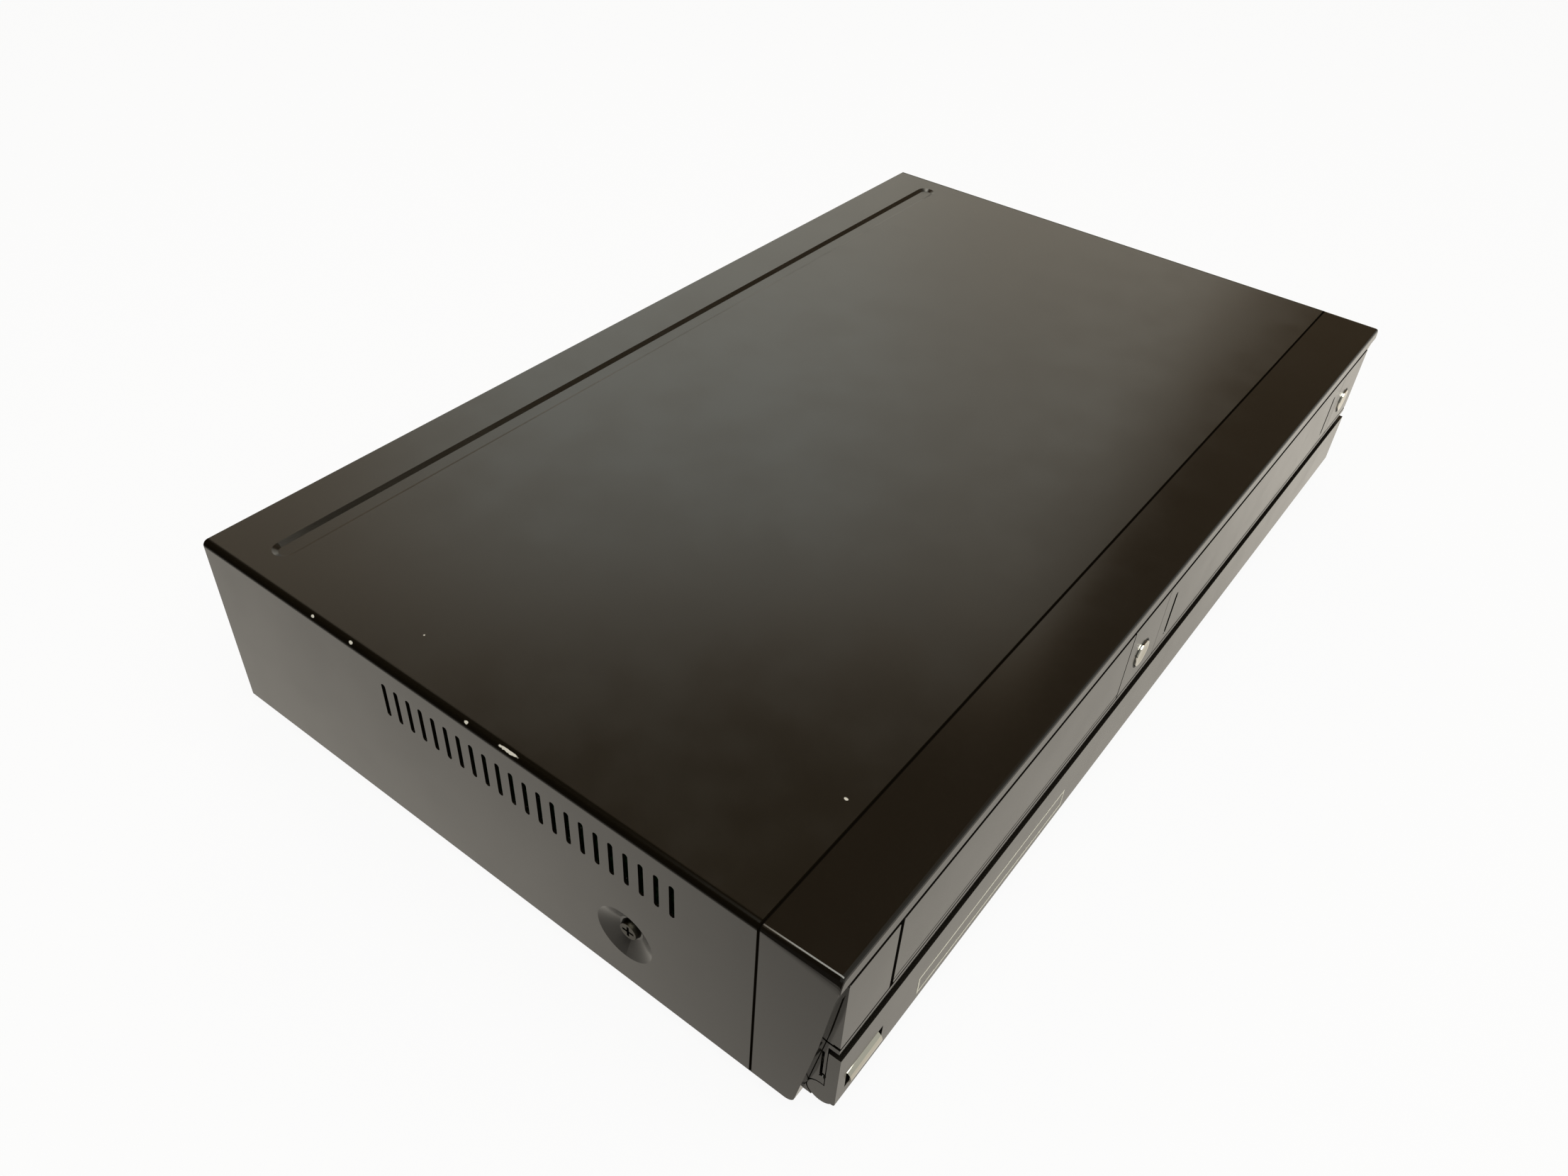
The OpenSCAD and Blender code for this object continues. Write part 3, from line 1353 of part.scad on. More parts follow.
// Threading post: sliding block with its peg and keeper, tape roller and flanges.
module thread_post() {
  at(thread_x, thread_s, 0) rotate(-thread_angle) {
    translate([-5, -6, deck_top + gap]) cube([10, 12, 3]);
    translate([0, 0, deck_z - gap - 1.5]) cylinder(h = deck_t + 3, r = thread_peg_r);
    translate([0, 0, deck_z - gap - 1.5]) cylinder(h = 1.5, r = 4.5);
    translate([0, 0, deck_top + 3]) cylinder(h = 20, r = 1.8);
    translate([0, 0, deck_top + 5]) cylinder(h = 15, r = 3);
    for (z = [4, 20]) translate([0, 0, deck_top + z]) cylinder(h = 1, r = 4);
  }
}

// Supply-side threading post.
module post_left() {
  color("#c7c2b0") translate([vcr_x, 0, 0]) mirror([1, 0, 0]) thread_post();
}

// Take-up-side threading post.
module post_right() {
  color("#c7c2b0") translate([vcr_x, 0, 0]) thread_post();
}

// Erase head, sound and control head, and fixed tape guides.
module tape_path() {
  color("#b7b9ba") {
    box(vcr_x - 62, vcr_x - 55, 146, 153, deck_top, deck_top + 20);
    box(vcr_x + 47, vcr_x + 54, 154, 161, deck_top, deck_top + 20);
    for (p = [[-72, 130], [-48, 138], [66, 128]]) {
      rod_z(deck_top, deck_top + 22, vcr_x + p[0], p[1], 2);
      rod_z(deck_top + 20, deck_top + 21, vcr_x + p[0], p[1], 3.5);
      rod_z(deck_top, deck_top + 3, vcr_x + p[0], p[1], 3.5);
    }
  }
}

// Fixed motors: tray motor, capstan stator with its bearing sleeve, and threading motor.
module drive_motors() {
  color("#b9bbbd") {
    difference() {
      rod_z(housing_z + 2, lift_z - 4, pinion_x, pinion_s, 9);
      rod_z(lift_z - 7, lift_z, pinion_x, pinion_s, 1.5 + pin_play);
    }
    difference() {
      union() {
        rod_z(flywheel_z + 4.6, deck_z, capstan_x, capstan_s, flywheel_r - 4);
        rod_z(flywheel_z + 4.6, deck_top + 6.5, capstan_x, capstan_s, 4);
      }
      rod_z(flywheel_z, deck_top + 10, capstan_x, capstan_s, capstan_r + pin_play);
    }
    box(vcr_x + 62, vcr_x + 90, 170, 188, deck_top, deck_top + 16);
    rod_x(vcr_x + 50, vcr_x + 62, 179, deck_top + 8, 1.2);
    rod_x(vcr_x + 51, vcr_x + 60, 179, deck_top + 8, 2.8);
  }
}

/* [Hidden] */

top_cover();
chassis_pan();
support_posts();
rear_panel();
feet();
cover_screws();
front_bezel();
badge_panel();
centre_panel();
right_panel();
control_panel();
front_jacks();
front_board();
main_board();
power_board();
transformer();
capacitors();
heat_sink();
tuner();
rear_jacks();
scart_sockets();
mains_inlet();
fan_frame();
dvd_housing();
clamp_bridge();
drive_motors();
deck_plate();
deck_brackets();
lower_drum();
tape_path();
ribbon_cables();
disc_tray();
tray_door();
tray_pinion();
loader_base();
loader_motors();
sled_rods();
turntable();
laser_sled();
sled_screw();
clamp_puck();
carriage();
carriage_gear();
vcr_flap();
head_drum();
capstan();
pinch_arm();
pinch_roller();
reel_supply();
reel_takeup();
post_left();
post_right();
fan_rotor();
flip_door();
power_button();
dvd_eject_button();
vcr_eject_button();
key_rewind();
key_play();
key_stop();
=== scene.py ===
"""Looks of a disc and cassette recorder deck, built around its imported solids."""

import logging
import math
from dataclasses import dataclass
from enum import Enum
from typing import Any, Optional, Sequence, Union

import bmesh
import bpy
from mathutils import Matrix


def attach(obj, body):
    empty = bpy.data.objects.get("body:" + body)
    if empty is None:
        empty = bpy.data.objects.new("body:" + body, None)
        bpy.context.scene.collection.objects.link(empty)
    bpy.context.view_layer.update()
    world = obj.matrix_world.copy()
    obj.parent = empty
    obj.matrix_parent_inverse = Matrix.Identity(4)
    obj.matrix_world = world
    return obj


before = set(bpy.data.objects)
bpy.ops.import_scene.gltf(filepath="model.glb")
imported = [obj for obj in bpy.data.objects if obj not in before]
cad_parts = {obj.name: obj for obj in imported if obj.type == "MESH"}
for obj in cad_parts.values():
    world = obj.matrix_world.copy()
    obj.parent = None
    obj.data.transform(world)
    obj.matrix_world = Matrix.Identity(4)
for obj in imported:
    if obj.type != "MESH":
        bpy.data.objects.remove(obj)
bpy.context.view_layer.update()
LOG = logging.getLogger("deck")

Tree = bpy.types.NodeTree
Node = bpy.types.Node
Object = bpy.types.Object
Source = Union[bpy.types.Node, bpy.types.NodeSocket]

MM = 0.001
# Plane between the cover and the front, in metres.
SEAM_Y = -0.1085
# Inputs of a colour mix: the share of the second colour, and both colours.
SHARE, FIRST, SECOND = 0, 6, 7
# A wave node turns this many radians over one unit of its scale.
WAVE_TURN = 20.0
# Brush marks are this many times as long as they are wide.
BRUSH_LENGTH = 25.0
# Corners closer than this are one corner, and edges that turn by less than this stay as they are.
WELD_MM = 0.01
SOFT_TURN = 40.0


class Relief(Enum):
    """How a surface was made, which decides the fine relief it carries."""

    LACQUERED = "sprayed, with a faint orange peel"
    ERODED = "moulded in a spark-eroded tool"
    GLOSSED = "moulded in a polished tool"
    BRUSHED = "rolled or brushed one way"
    SPANGLED = "hot-dip coated, with crystal spangles"
    TURNED = "turned on a lathe, with ring marks"
    WOVEN = "laminated over glass cloth"
    WOUND = "wound with tape or wire"


class Way(Enum):
    """Axis that a grain or a winding follows."""

    X = (1.0, 0.0, 0.0)
    Y = (0.0, 1.0, 0.0)
    Z = (0.0, 0.0, 1.0)


@dataclass(frozen=True)
class Fade:
    """A smooth change from one value to another while some quantity runs over a span.

    Args:
        low: where the change begins.
        high: where it ends.
        start: value up to the beginning.
        end: value from the end on.
    """

    low: float
    high: float
    start: float = 0.0
    end: float = 1.0

    @classmethod
    def round_about(cls, low: float, high: float, start: float = 0.0, end: float = 1.0) -> "Fade":
        """Return the fade over a span of azimuth, given in degrees."""
        return cls(math.radians(low), math.radians(high), start, end)

    @classmethod
    def upward(cls, low: float, high: float, start: float = 0.0, end: float = 1.0) -> "Fade":
        """Return the fade over a span of elevation, given in degrees, for a direction's height."""
        return cls(math.sin(math.radians(low)), math.sin(math.radians(high)), start, end)

    def settings(self) -> dict[str, Any]:
        """Return the settings of the Map Range node that makes the change."""
        return {
            "interpolation_type": "SMOOTHSTEP", "From Min": self.low, "From Max": self.high,
            "To Min": self.start, "To Max": self.end,
        }


@dataclass(frozen=True)
class Edge:
    """Rounding that moulding or folding leaves on a sharp edge.

    Args:
        width_mm: width of the rounding.
        faces: number of faces across it.
    """

    width_mm: float
    faces: int = 2


def linear(code: str) -> tuple[float, float, float, float]:
    """Turn an sRGB hex colour into linear values.

    Args:
        code: colour such as "#1a1a1a".

    Returns:
        Linear red, green and blue with an alpha of 1.
    """
    parts = [int(code[i : i + 2], 16) / 255 for i in (1, 3, 5)]
    red, green, blue = (v / 12.92 if v <= 0.04045 else ((v + 0.055) / 1.055) ** 2.4 for v in parts)
    return red, green, blue, 1.0


def per_metre(spacing_mm: float) -> float:
    """Return how many times a pattern of this spacing repeats in a metre."""
    return 1.0 / (spacing_mm * MM)


def add_node(
    tree: Tree,
    kind: str,
    settings: Optional[dict[Any, Any]] = None,
    links: Optional[dict[Any, Source]] = None,
) -> Node:
    """Add one node with its settings and links.

    Args:
        tree: node tree that takes the node.
        kind: the node's type name.
        settings: property names or input sockets, with their values.
        links: input sockets, each with the output that feeds it, or with a node for its first output.

    Returns:
        The new node.
    """
    node = tree.nodes.new(kind)
    for key, value in (settings or {}).items():
        if isinstance(key, str) and hasattr(node, key):
            setattr(node, key, value)
        else:
            node.inputs[key].default_value = value
    for key, source in (links or {}).items():
        if isinstance(source, Node):
            source = next(output for output in source.outputs if output.enabled)
        tree.links.new(source, node.inputs[key])
    return node


def overlap(tree: Tree, fades: Sequence[tuple[Source, Fade]]) -> Node:
    """Multiply several fades, so that only what lies in all of them counts.

    Args:
        tree: node tree that takes the nodes.
        fades: each quantity with its fade.

    Returns:
        The node that gives the product.
    """
    whole: Optional[Node] = None
    for source, fade in fades:
        part = add_node(tree, "ShaderNodeMapRange", fade.settings(), {"Value": source})
        whole = part if whole is None else add_node(
            tree, "ShaderNodeMath", {"operation": "MULTIPLY"}, {0: whole, 1: part}
        )
    return whole


@dataclass(frozen=True)
class Finish:
    """One real finish: its colours, its gloss and the relief of its surface.

    Args:
        name: maker's name of the finish.
        colour: main colour.
        second: colour of its streaks, spangles or worn places.
        roughness: mean roughness of the surface.
        metallic: 1 for bare metal, 0 otherwise.
        ior: index of refraction of what isn't metal.
        relief: how the surface was made.
        grain_mm: real spacing of the relief.
        depth_mm: height of the relief.
        mottle: greatest share of the second colour in the main one.
        way: axis that the grain follows.
        seam: whether painted shade darkens it beside the seam between cover and front.
        bump: how strongly the relief turns the light.
        drift_mm: size of the broad drift in its colour.
        drifting: span of relief times drift over which the second colour comes in.
        smear_mm: size of the marks that handling leaves.
        smeared: how those marks change the roughness, as a factor.
        sparkle: how the relief's height changes the roughness, as a factor.
        seam_shade: how much it mirrors, over the distance from the seam in metres; a painted shade that
            darkens a band along the seam.
    """

    name: str
    colour: str
    second: str
    roughness: float
    metallic: float = 0.0
    ior: float = 1.5
    relief: Relief = Relief.ERODED
    grain_mm: float = 0.4
    depth_mm: float = 0.01
    mottle: float = 0.3
    way: Way = Way.X
    seam: bool = False
    bump: float = 0.35
    drift_mm: float = 35.714
    drifting: tuple[float, float] = (0.1, 0.6)
    smear_mm: float = 22.222
    smeared: Fade = Fade(0.3, 0.75, 0.88, 1.18)
    sparkle: Fade = Fade(0.2, 0.8, 0.96, 1.05)
    seam_shade: Fade = Fade(0.0004, 0.0006, 0.0, 0.5)

    def height(self, tree: Tree, point: Source) -> Source:
        """Build the height pattern of the relief.

        Args:
            tree: node tree of the material.
            point: surface point.

        Returns:
            Height from 0 to 1.
        """
        fine = per_metre(self.grain_mm)
        # Rings and weaves this fine don't show, so they are drawn about six times as coarse.
        coarse = fine / WAVE_TURN
        if self.relief is Relief.BRUSHED:
            stretch = tuple(1.0 / BRUSH_LENGTH if part else 1.0 for part in self.way.value)
            drawn = add_node(tree, "ShaderNodeMapping", {"Scale": stretch}, {"Vector": point})
            return add_node(tree, "ShaderNodeTexNoise", {"Scale": fine, "Detail": 3.0}, {"Vector": drawn})
        if self.relief is Relief.SPANGLED:
            cells = add_node(tree, "ShaderNodeTexVoronoi", {"Scale": fine}, {"Vector": point})
            return add_node(tree, "ShaderNodeSeparateColor", links={0: cells.outputs["Color"]})
        if self.relief in (Relief.TURNED, Relief.WOUND):
            rings = {"bands_direction": self.way.name, "Scale": coarse, "Distortion": 0.4}
            return add_node(tree, "ShaderNodeTexWave", rings, {"Vector": point}).outputs["Fac"]
        if self.relief is Relief.WOVEN:
            sets = ({"bands_direction": axis, "Scale": coarse} for axis in ("X", "Y"))
            warp, weft = (add_node(tree, "ShaderNodeTexWave", waves, {"Vector": point}) for waves in sets)
            threads = {0: warp.outputs["Fac"], 1: weft.outputs["Fac"]}
            return add_node(tree, "ShaderNodeMath", {"operation": "MULTIPLY"}, threads)
        return add_node(tree, "ShaderNodeTexNoise", {"Scale": fine, "Detail": 4.0}, {"Vector": point})

    def tint(self, tree: Tree, point: Source, height: Source) -> Node:
        """Build the colour pattern: the second colour in the first, with broad drift.

        Args:
            tree: node tree of the material.
            point: surface point.
            height: height of the relief.

        Returns:
            The node that gives the colour.
        """
        broad = {"Scale": per_metre(self.drift_mm), "Detail": 2.0}
        drift = add_node(tree, "ShaderNodeTexNoise", broad, {"Vector": point})
        both = add_node(tree, "ShaderNodeMath", {"operation": "MULTIPLY"}, {0: height, 1: drift})
        mixed = Fade(*self.drifting, 0.0, self.mottle)
        share = add_node(tree, "ShaderNodeMapRange", mixed.settings(), {"Value": both})
        colours = {"data_type": "RGBA", FIRST: linear(self.colour), SECOND: linear(self.second)}
        return add_node(tree, "ShaderNodeMix", colours, {SHARE: share})

    def gloss(self, tree: Tree, point: Source, height: Source) -> Node:
        """Build the roughness pattern: handling marks and the relief's own sparkle.

        Args:
            tree: node tree of the material.
            point: surface point.
            height: height of the relief.

        Returns:
            The node that gives the roughness.
        """
        marks = {"Scale": per_metre(self.smear_mm), "Detail": 5.0}
        smears = add_node(tree, "ShaderNodeTexNoise", marks, {"Vector": point})
        uneven = overlap(tree, ((smears, self.smeared), (height, self.sparkle)))
        return add_node(tree, "ShaderNodeMath", {"operation": "MULTIPLY", 1: self.roughness}, {0: uneven})

    def sheen(self, tree: Tree, point: Source) -> Optional[Node]:
        """Build how much the surface mirrors, with a painted shade that darkens it beside the seam.

        Args:
            tree: node tree of the material.
            point: surface point.

        Returns:
            The node that gives it, or None for a finish that mirrors alike everywhere.
        """
        if not self.seam:
            return None
        # Painted shade: within about half a millimetre of the seam the surface mirrors nothing, so the seam
        # shows as a dark line.
        axes = add_node(tree, "ShaderNodeSeparateXYZ", links={0: point})
        past = add_node(tree, "ShaderNodeMath", {"operation": "SUBTRACT", 1: SEAM_Y}, {0: axes.outputs["Y"]})
        away = add_node(tree, "ShaderNodeMath", {"operation": "ABSOLUTE"}, {0: past})
        return add_node(tree, "ShaderNodeMapRange", self.seam_shade.settings(), {"Value": away})

    def extras(self, tree: Tree, point: Source, colour: Node) -> Node:
        """Return the colour with this finish's own marks; plain finishes have none."""
        return colour

    def build(self) -> bpy.types.Material:
        """Make the material, unless it's already made.

        Returns:
            The material.
        """
        known = bpy.data.materials.get(self.name)
        if known is not None and known.get("deck_finish"):
            return known
        material = bpy.data.materials.new(self.name)
        material["deck_finish"] = True
        material.use_nodes = True
        tree = material.node_tree
        tree.nodes.clear()
        point = add_node(tree, "ShaderNodeTexCoord").outputs["Object"]
        height = self.height(tree, point)
        proud = {"Strength": self.bump, "Distance": self.depth_mm * MM}
        links: dict[str, Source] = {
            "Base Color": self.extras(tree, point, self.tint(tree, point, height)),
            "Roughness": self.gloss(tree, point, height),
            "Normal": add_node(tree, "ShaderNodeBump", proud, {"Height": height}),
        }
        mirror = self.sheen(tree, point)
        if mirror is not None:
            links["Specular IOR Level"] = mirror
        surface = {"Metallic": self.metallic, "IOR": self.ior}
        shader = add_node(tree, "ShaderNodeBsdfPrincipled", surface, links)
        add_node(tree, "ShaderNodeOutputMaterial", links={"Surface": shader})
        return material


@dataclass(frozen=True)
class BlackLacquer(Finish):
    """Satin black stoving lacquer on folded sheet steel, chipped to its pale primer.

    Args:
        chips: middle of each chip with its half length along Y, all in millimetres.
        chip_width_mm: half width of a long chip.
        chip_rim: how a chip ends, over the distance from its middle as a share of its reach.
        ragged_mm: size of the raggedness of its rim.
        primer: colour that a chip lays bare.
        painted_edge_shade: how much the lacquer mirrors, over the sum of both distances to a folded edge; a
            painted shade that darkens the rounding of the folds.
    """

    chips: tuple[tuple[float, float, float, float], ...] = ()
    chip_width_mm: float = 0.6
    chip_rim: Fade = Fade(1.15, 1.4, 1.0, 0.0)
    ragged_mm: float = 1.1111
    primer: str = "#e2ded2"
    painted_edge_shade: Fade = Fade(0.2908, 0.2915, 1.0, 0.1)

    def sheen(self, tree: Tree, point: Source) -> Optional[Node]:
        """Build how much the lacquer mirrors, with a painted shade that darkens the rounding of the folded
        top edges.

        Args:
            tree: node tree of the material.
            point: surface point.

        Returns:
            The node that gives it.
        """
        beside = super().sheen(tree, point)
        axes = add_node(tree, "ShaderNodeSeparateXYZ", links={0: point})
        # Width and height together pass 291 mm only in the rounding of a fold.
        across = add_node(tree, "ShaderNodeMath", {"operation": "ABSOLUTE"}, {0: axes.outputs["X"]})
        fold = add_node(tree, "ShaderNodeMath", {"operation": "ADD"}, {0: across, 1: axes.outputs["Z"]})
        # Painted shade: in the rounding of the folds the lacquer mirrors far less, so the folded edges show
        # as dark bands.
        edge_shade_mask = add_node(tree, "ShaderNodeMapRange", self.painted_edge_shade.settings(), {"Value": fold})
        if beside is None:
            return edge_shade_mask
        return add_node(tree, "ShaderNodeMath", {"operation": "MULTIPLY"}, {0: beside, 1: edge_shade_mask})

    def extras(self, tree: Tree, point: Source, colour: Node) -> Node:
        """Add the chips to the lacquer.

        Args:
            tree: node tree of the material.
            point: surface point.
            colour: colour of the lacquer.

        Returns:
            The colour with its chips.
        """
        if not self.chips:
            return colour
        broken = {"Scale": per_metre(self.ragged_mm), "Detail": 4.0}
        ragged = add_node(tree, "ShaderNodeTexNoise", broken, {"Vector": point})
        worn: Optional[Node] = None
        for *middle, length in self.chips:
            centre = tuple(part * MM for part in middle)
            narrow = per_metre(min(length, self.chip_width_mm))
            reach = (narrow, per_metre(length), narrow)
            away = add_node(tree, "ShaderNodeVectorMath", {"operation": "SUBTRACT", 1: centre}, {0: point})
            flat = add_node(tree, "ShaderNodeVectorMath", {"operation": "MULTIPLY", 1: reach}, {0: away})
            far = add_node(tree, "ShaderNodeVectorMath", {"operation": "LENGTH"}, {0: flat})
            rim = add_node(tree, "ShaderNodeMath", {"operation": "ADD"}, {0: far, 1: ragged})
            chip = add_node(tree, "ShaderNodeMapRange", self.chip_rim.settings(), {"Value": rim})
            worn = chip if worn is None else add_node(
                tree, "ShaderNodeMath", {"operation": "MAXIMUM"}, {0: chip, 1: worn}
            )
        bare = {"data_type": "RGBA", SECOND: linear(self.primer)}
        return add_node(tree, "ShaderNodeMix", bare, {SHARE: worn, FIRST: colour})


@dataclass(frozen=True)
class GlassEpoxy(Finish):
    """Green solder mask over copper tracks on glass cloth, with tinned pads.

    Args:
        track_mm: spacing of the tracks, drawn coarser than real ones so that they show.
        pad_mm: grid of the pads.
        island_mm: size of the fields that have pads.
        track_width: width of a track, as a share of four rows of them.
        track_shine: how strongly a track shows through the mask.
        track_colour: colour of copper under the mask.
        pad_colour: colour of tin.
        pad_rim: how a pad ends, over the distance from its middle as a share of the grid.
        island_rim: how a field with pads begins, over the height of its noise.
    """

    track_mm: float = 4.1667
    pad_mm: float = 2.54
    island_mm: float = 16.667
    track_width: float = 0.035
    track_shine: float = 0.5
    track_colour: str = "#4f8a55"
    pad_colour: str = "#c8c9c4"
    pad_rim: Fade = Fade(0.2, 0.26, 1.0, 0.0)
    island_rim: Fade = Fade(0.52, 0.56)

    def extras(self, tree: Tree, point: Source, colour: Node) -> Node:
        """Add tracks and pads to the board.

        Args:
            tree: node tree of the material.
            point: surface point.
            colour: colour of the mask.

        Returns:
            The colour with its tracks and pads.
        """
        black, white = (0.0, 0.0, 0.0, 1.0), (1.0, 1.0, 1.0, 1.0)
        # A brick node lays four rows over one unit of its scale.
        rows = {
            "Scale": per_metre(self.track_mm * 4), "Mortar Size": self.track_width,
            "Color1": black, "Color2": black, "Mortar": white,
        }
        tracks = add_node(tree, "ShaderNodeTexBrick", rows, {"Vector": point})
        faint = add_node(tree, "ShaderNodeMath", {"operation": "MULTIPLY", 1: self.track_shine}, {0: tracks})
        copper = {"data_type": "RGBA", SECOND: linear(self.track_colour)}
        tracked = add_node(tree, "ShaderNodeMix", copper, {SHARE: faint, FIRST: colour})
        grid = {"Scale": per_metre(self.pad_mm), "Randomness": 0.0}
        pads = add_node(tree, "ShaderNodeTexVoronoi", grid, {"Vector": point})
        fields = {"Scale": per_metre(self.island_mm)}
        islands = add_node(tree, "ShaderNodeTexNoise", fields, {"Vector": point})
        share = overlap(tree, ((pads, self.pad_rim), (islands, self.island_rim)))
        tin = {"data_type": "RGBA", SECOND: linear(self.pad_colour)}
        return add_node(tree, "ShaderNodeMix", tin, {SHARE: share, FIRST: tracked})


@dataclass(frozen=True)
class SteppedBoard(GlassEpoxy):
    """Board whose chips, which stand above its face, are black moulded epoxy.

    Args:
        face_mm: height of the board's upper face.
        border_mm: where the epoxy's colour begins and is full, above that face.
        chip_colour: colour of the moulded chips.
    """

    face_mm: float = 10.6
    border_mm: tuple[float, float] = (0.02, 0.08)
    chip_colour: str = "#17171a"

    def extras(self, tree: Tree, point: Source, colour: Node) -> Node:
        """Lay tracks on the face and black epoxy on what stands above it.

        Args:
            tree: node tree of the material.
            point: surface point.
            colour: colour of the mask.

        Returns:
            The colour with its tracks and chips.
        """
        tracked = super().extras(tree, point, colour)
        axes = add_node(tree, "ShaderNodeSeparateXYZ", links={0: point})
        above = Fade(*((self.face_mm + border) * MM for border in self.border_mm))
        share = add_node(tree, "ShaderNodeMapRange", above.settings(), {"Value": axes.outputs["Z"]})
        epoxy = {"data_type": "RGBA", SECOND: linear(self.chip_colour)}
        return add_node(tree, "ShaderNodeMix", epoxy, {SHARE: share, FIRST: tracked})


@dataclass(frozen=True)
class WoundCore(Finish):
    """Tape-wound coil in a grey ferrite core, told apart by where the core's legs and yoke stand.

    Args:
        core_x: inner faces of both legs, in millimetres.
        yoke_z: underside of the yoke.
        core_colour: colour of sintered ferrite.
        border_mm: half width of the border between coil and core.
    """

    core_x: tuple[float, float] = (-167.0, -133.0)
    yoke_z: float = 36.6
    core_colour: str = "#2d2d30"
    border_mm: float = 0.02

    def extras(self, tree: Tree, point: Source, colour: Node) -> Node:
        """Turn the legs and yoke to sintered ferrite.

        Args:
            tree: node tree of the material.
            point: surface point.
            colour: colour of the winding.

        Returns:
            The colour with its core.
        """
        axes = add_node(tree, "ShaderNodeSeparateXYZ", links={0: point})
        left, right = self.core_x
        faces = (("X", left, 1.0, 0.0), ("X", right, 0.0, 1.0), ("Z", self.yoke_z, 0.0, 1.0))
        core: Optional[Node] = None
        for axis, face, below, above in faces:
            step = Fade((face - self.border_mm) * MM, (face + self.border_mm) * MM, below, above)
            side = add_node(tree, "ShaderNodeMapRange", step.settings(), {"Value": axes.outputs[axis]})
            core = side if core is None else add_node(
                tree, "ShaderNodeMath", {"operation": "MAXIMUM"}, {0: core, 1: side}
            )
        ferrite = {"data_type": "RGBA", SECOND: linear(self.core_colour)}
        return add_node(tree, "ShaderNodeMix", ferrite, {SHARE: core, FIRST: colour})


@dataclass(frozen=True)
class FlatCable(Finish):
    """Flat cable: pale plastic whose wires show through as darker lines.

    Args:
        wire_mm: real spacing of the wires.
        wire_colour: colour of a wire through the plastic.
        wire_rim: how a wire shows across its width.
    """

    wire_mm: float = 1.0
    wire_colour: str = "#8b8b88"
    wire_rim: Fade = Fade(0.6, 0.9, 0.0, 0.6)

    def extras(self, tree: Tree, point: Source, colour: Node) -> Node:
        """Add the wires' lines.

        Args:
            tree: node tree of the material.
            point: surface point.
            colour: colour of the plastic.

        Returns:
            The colour with its lines.
        """
        # Wires this fine don't show, so they are drawn about six times as coarse.
        lines = {"bands_direction": "X", "Scale": per_metre(self.wire_mm) / WAVE_TURN}
        wires = add_node(tree, "ShaderNodeTexWave", lines, {"Vector": point})
        across = {"Value": wires.outputs["Fac"]}
        share = add_node(tree, "ShaderNodeMapRange", self.wire_rim.settings(), across)
        metal = {"data_type": "RGBA", SECOND: linear(self.wire_colour)}
        return add_node(tree, "ShaderNodeMix", metal, {SHARE: share, FIRST: colour})


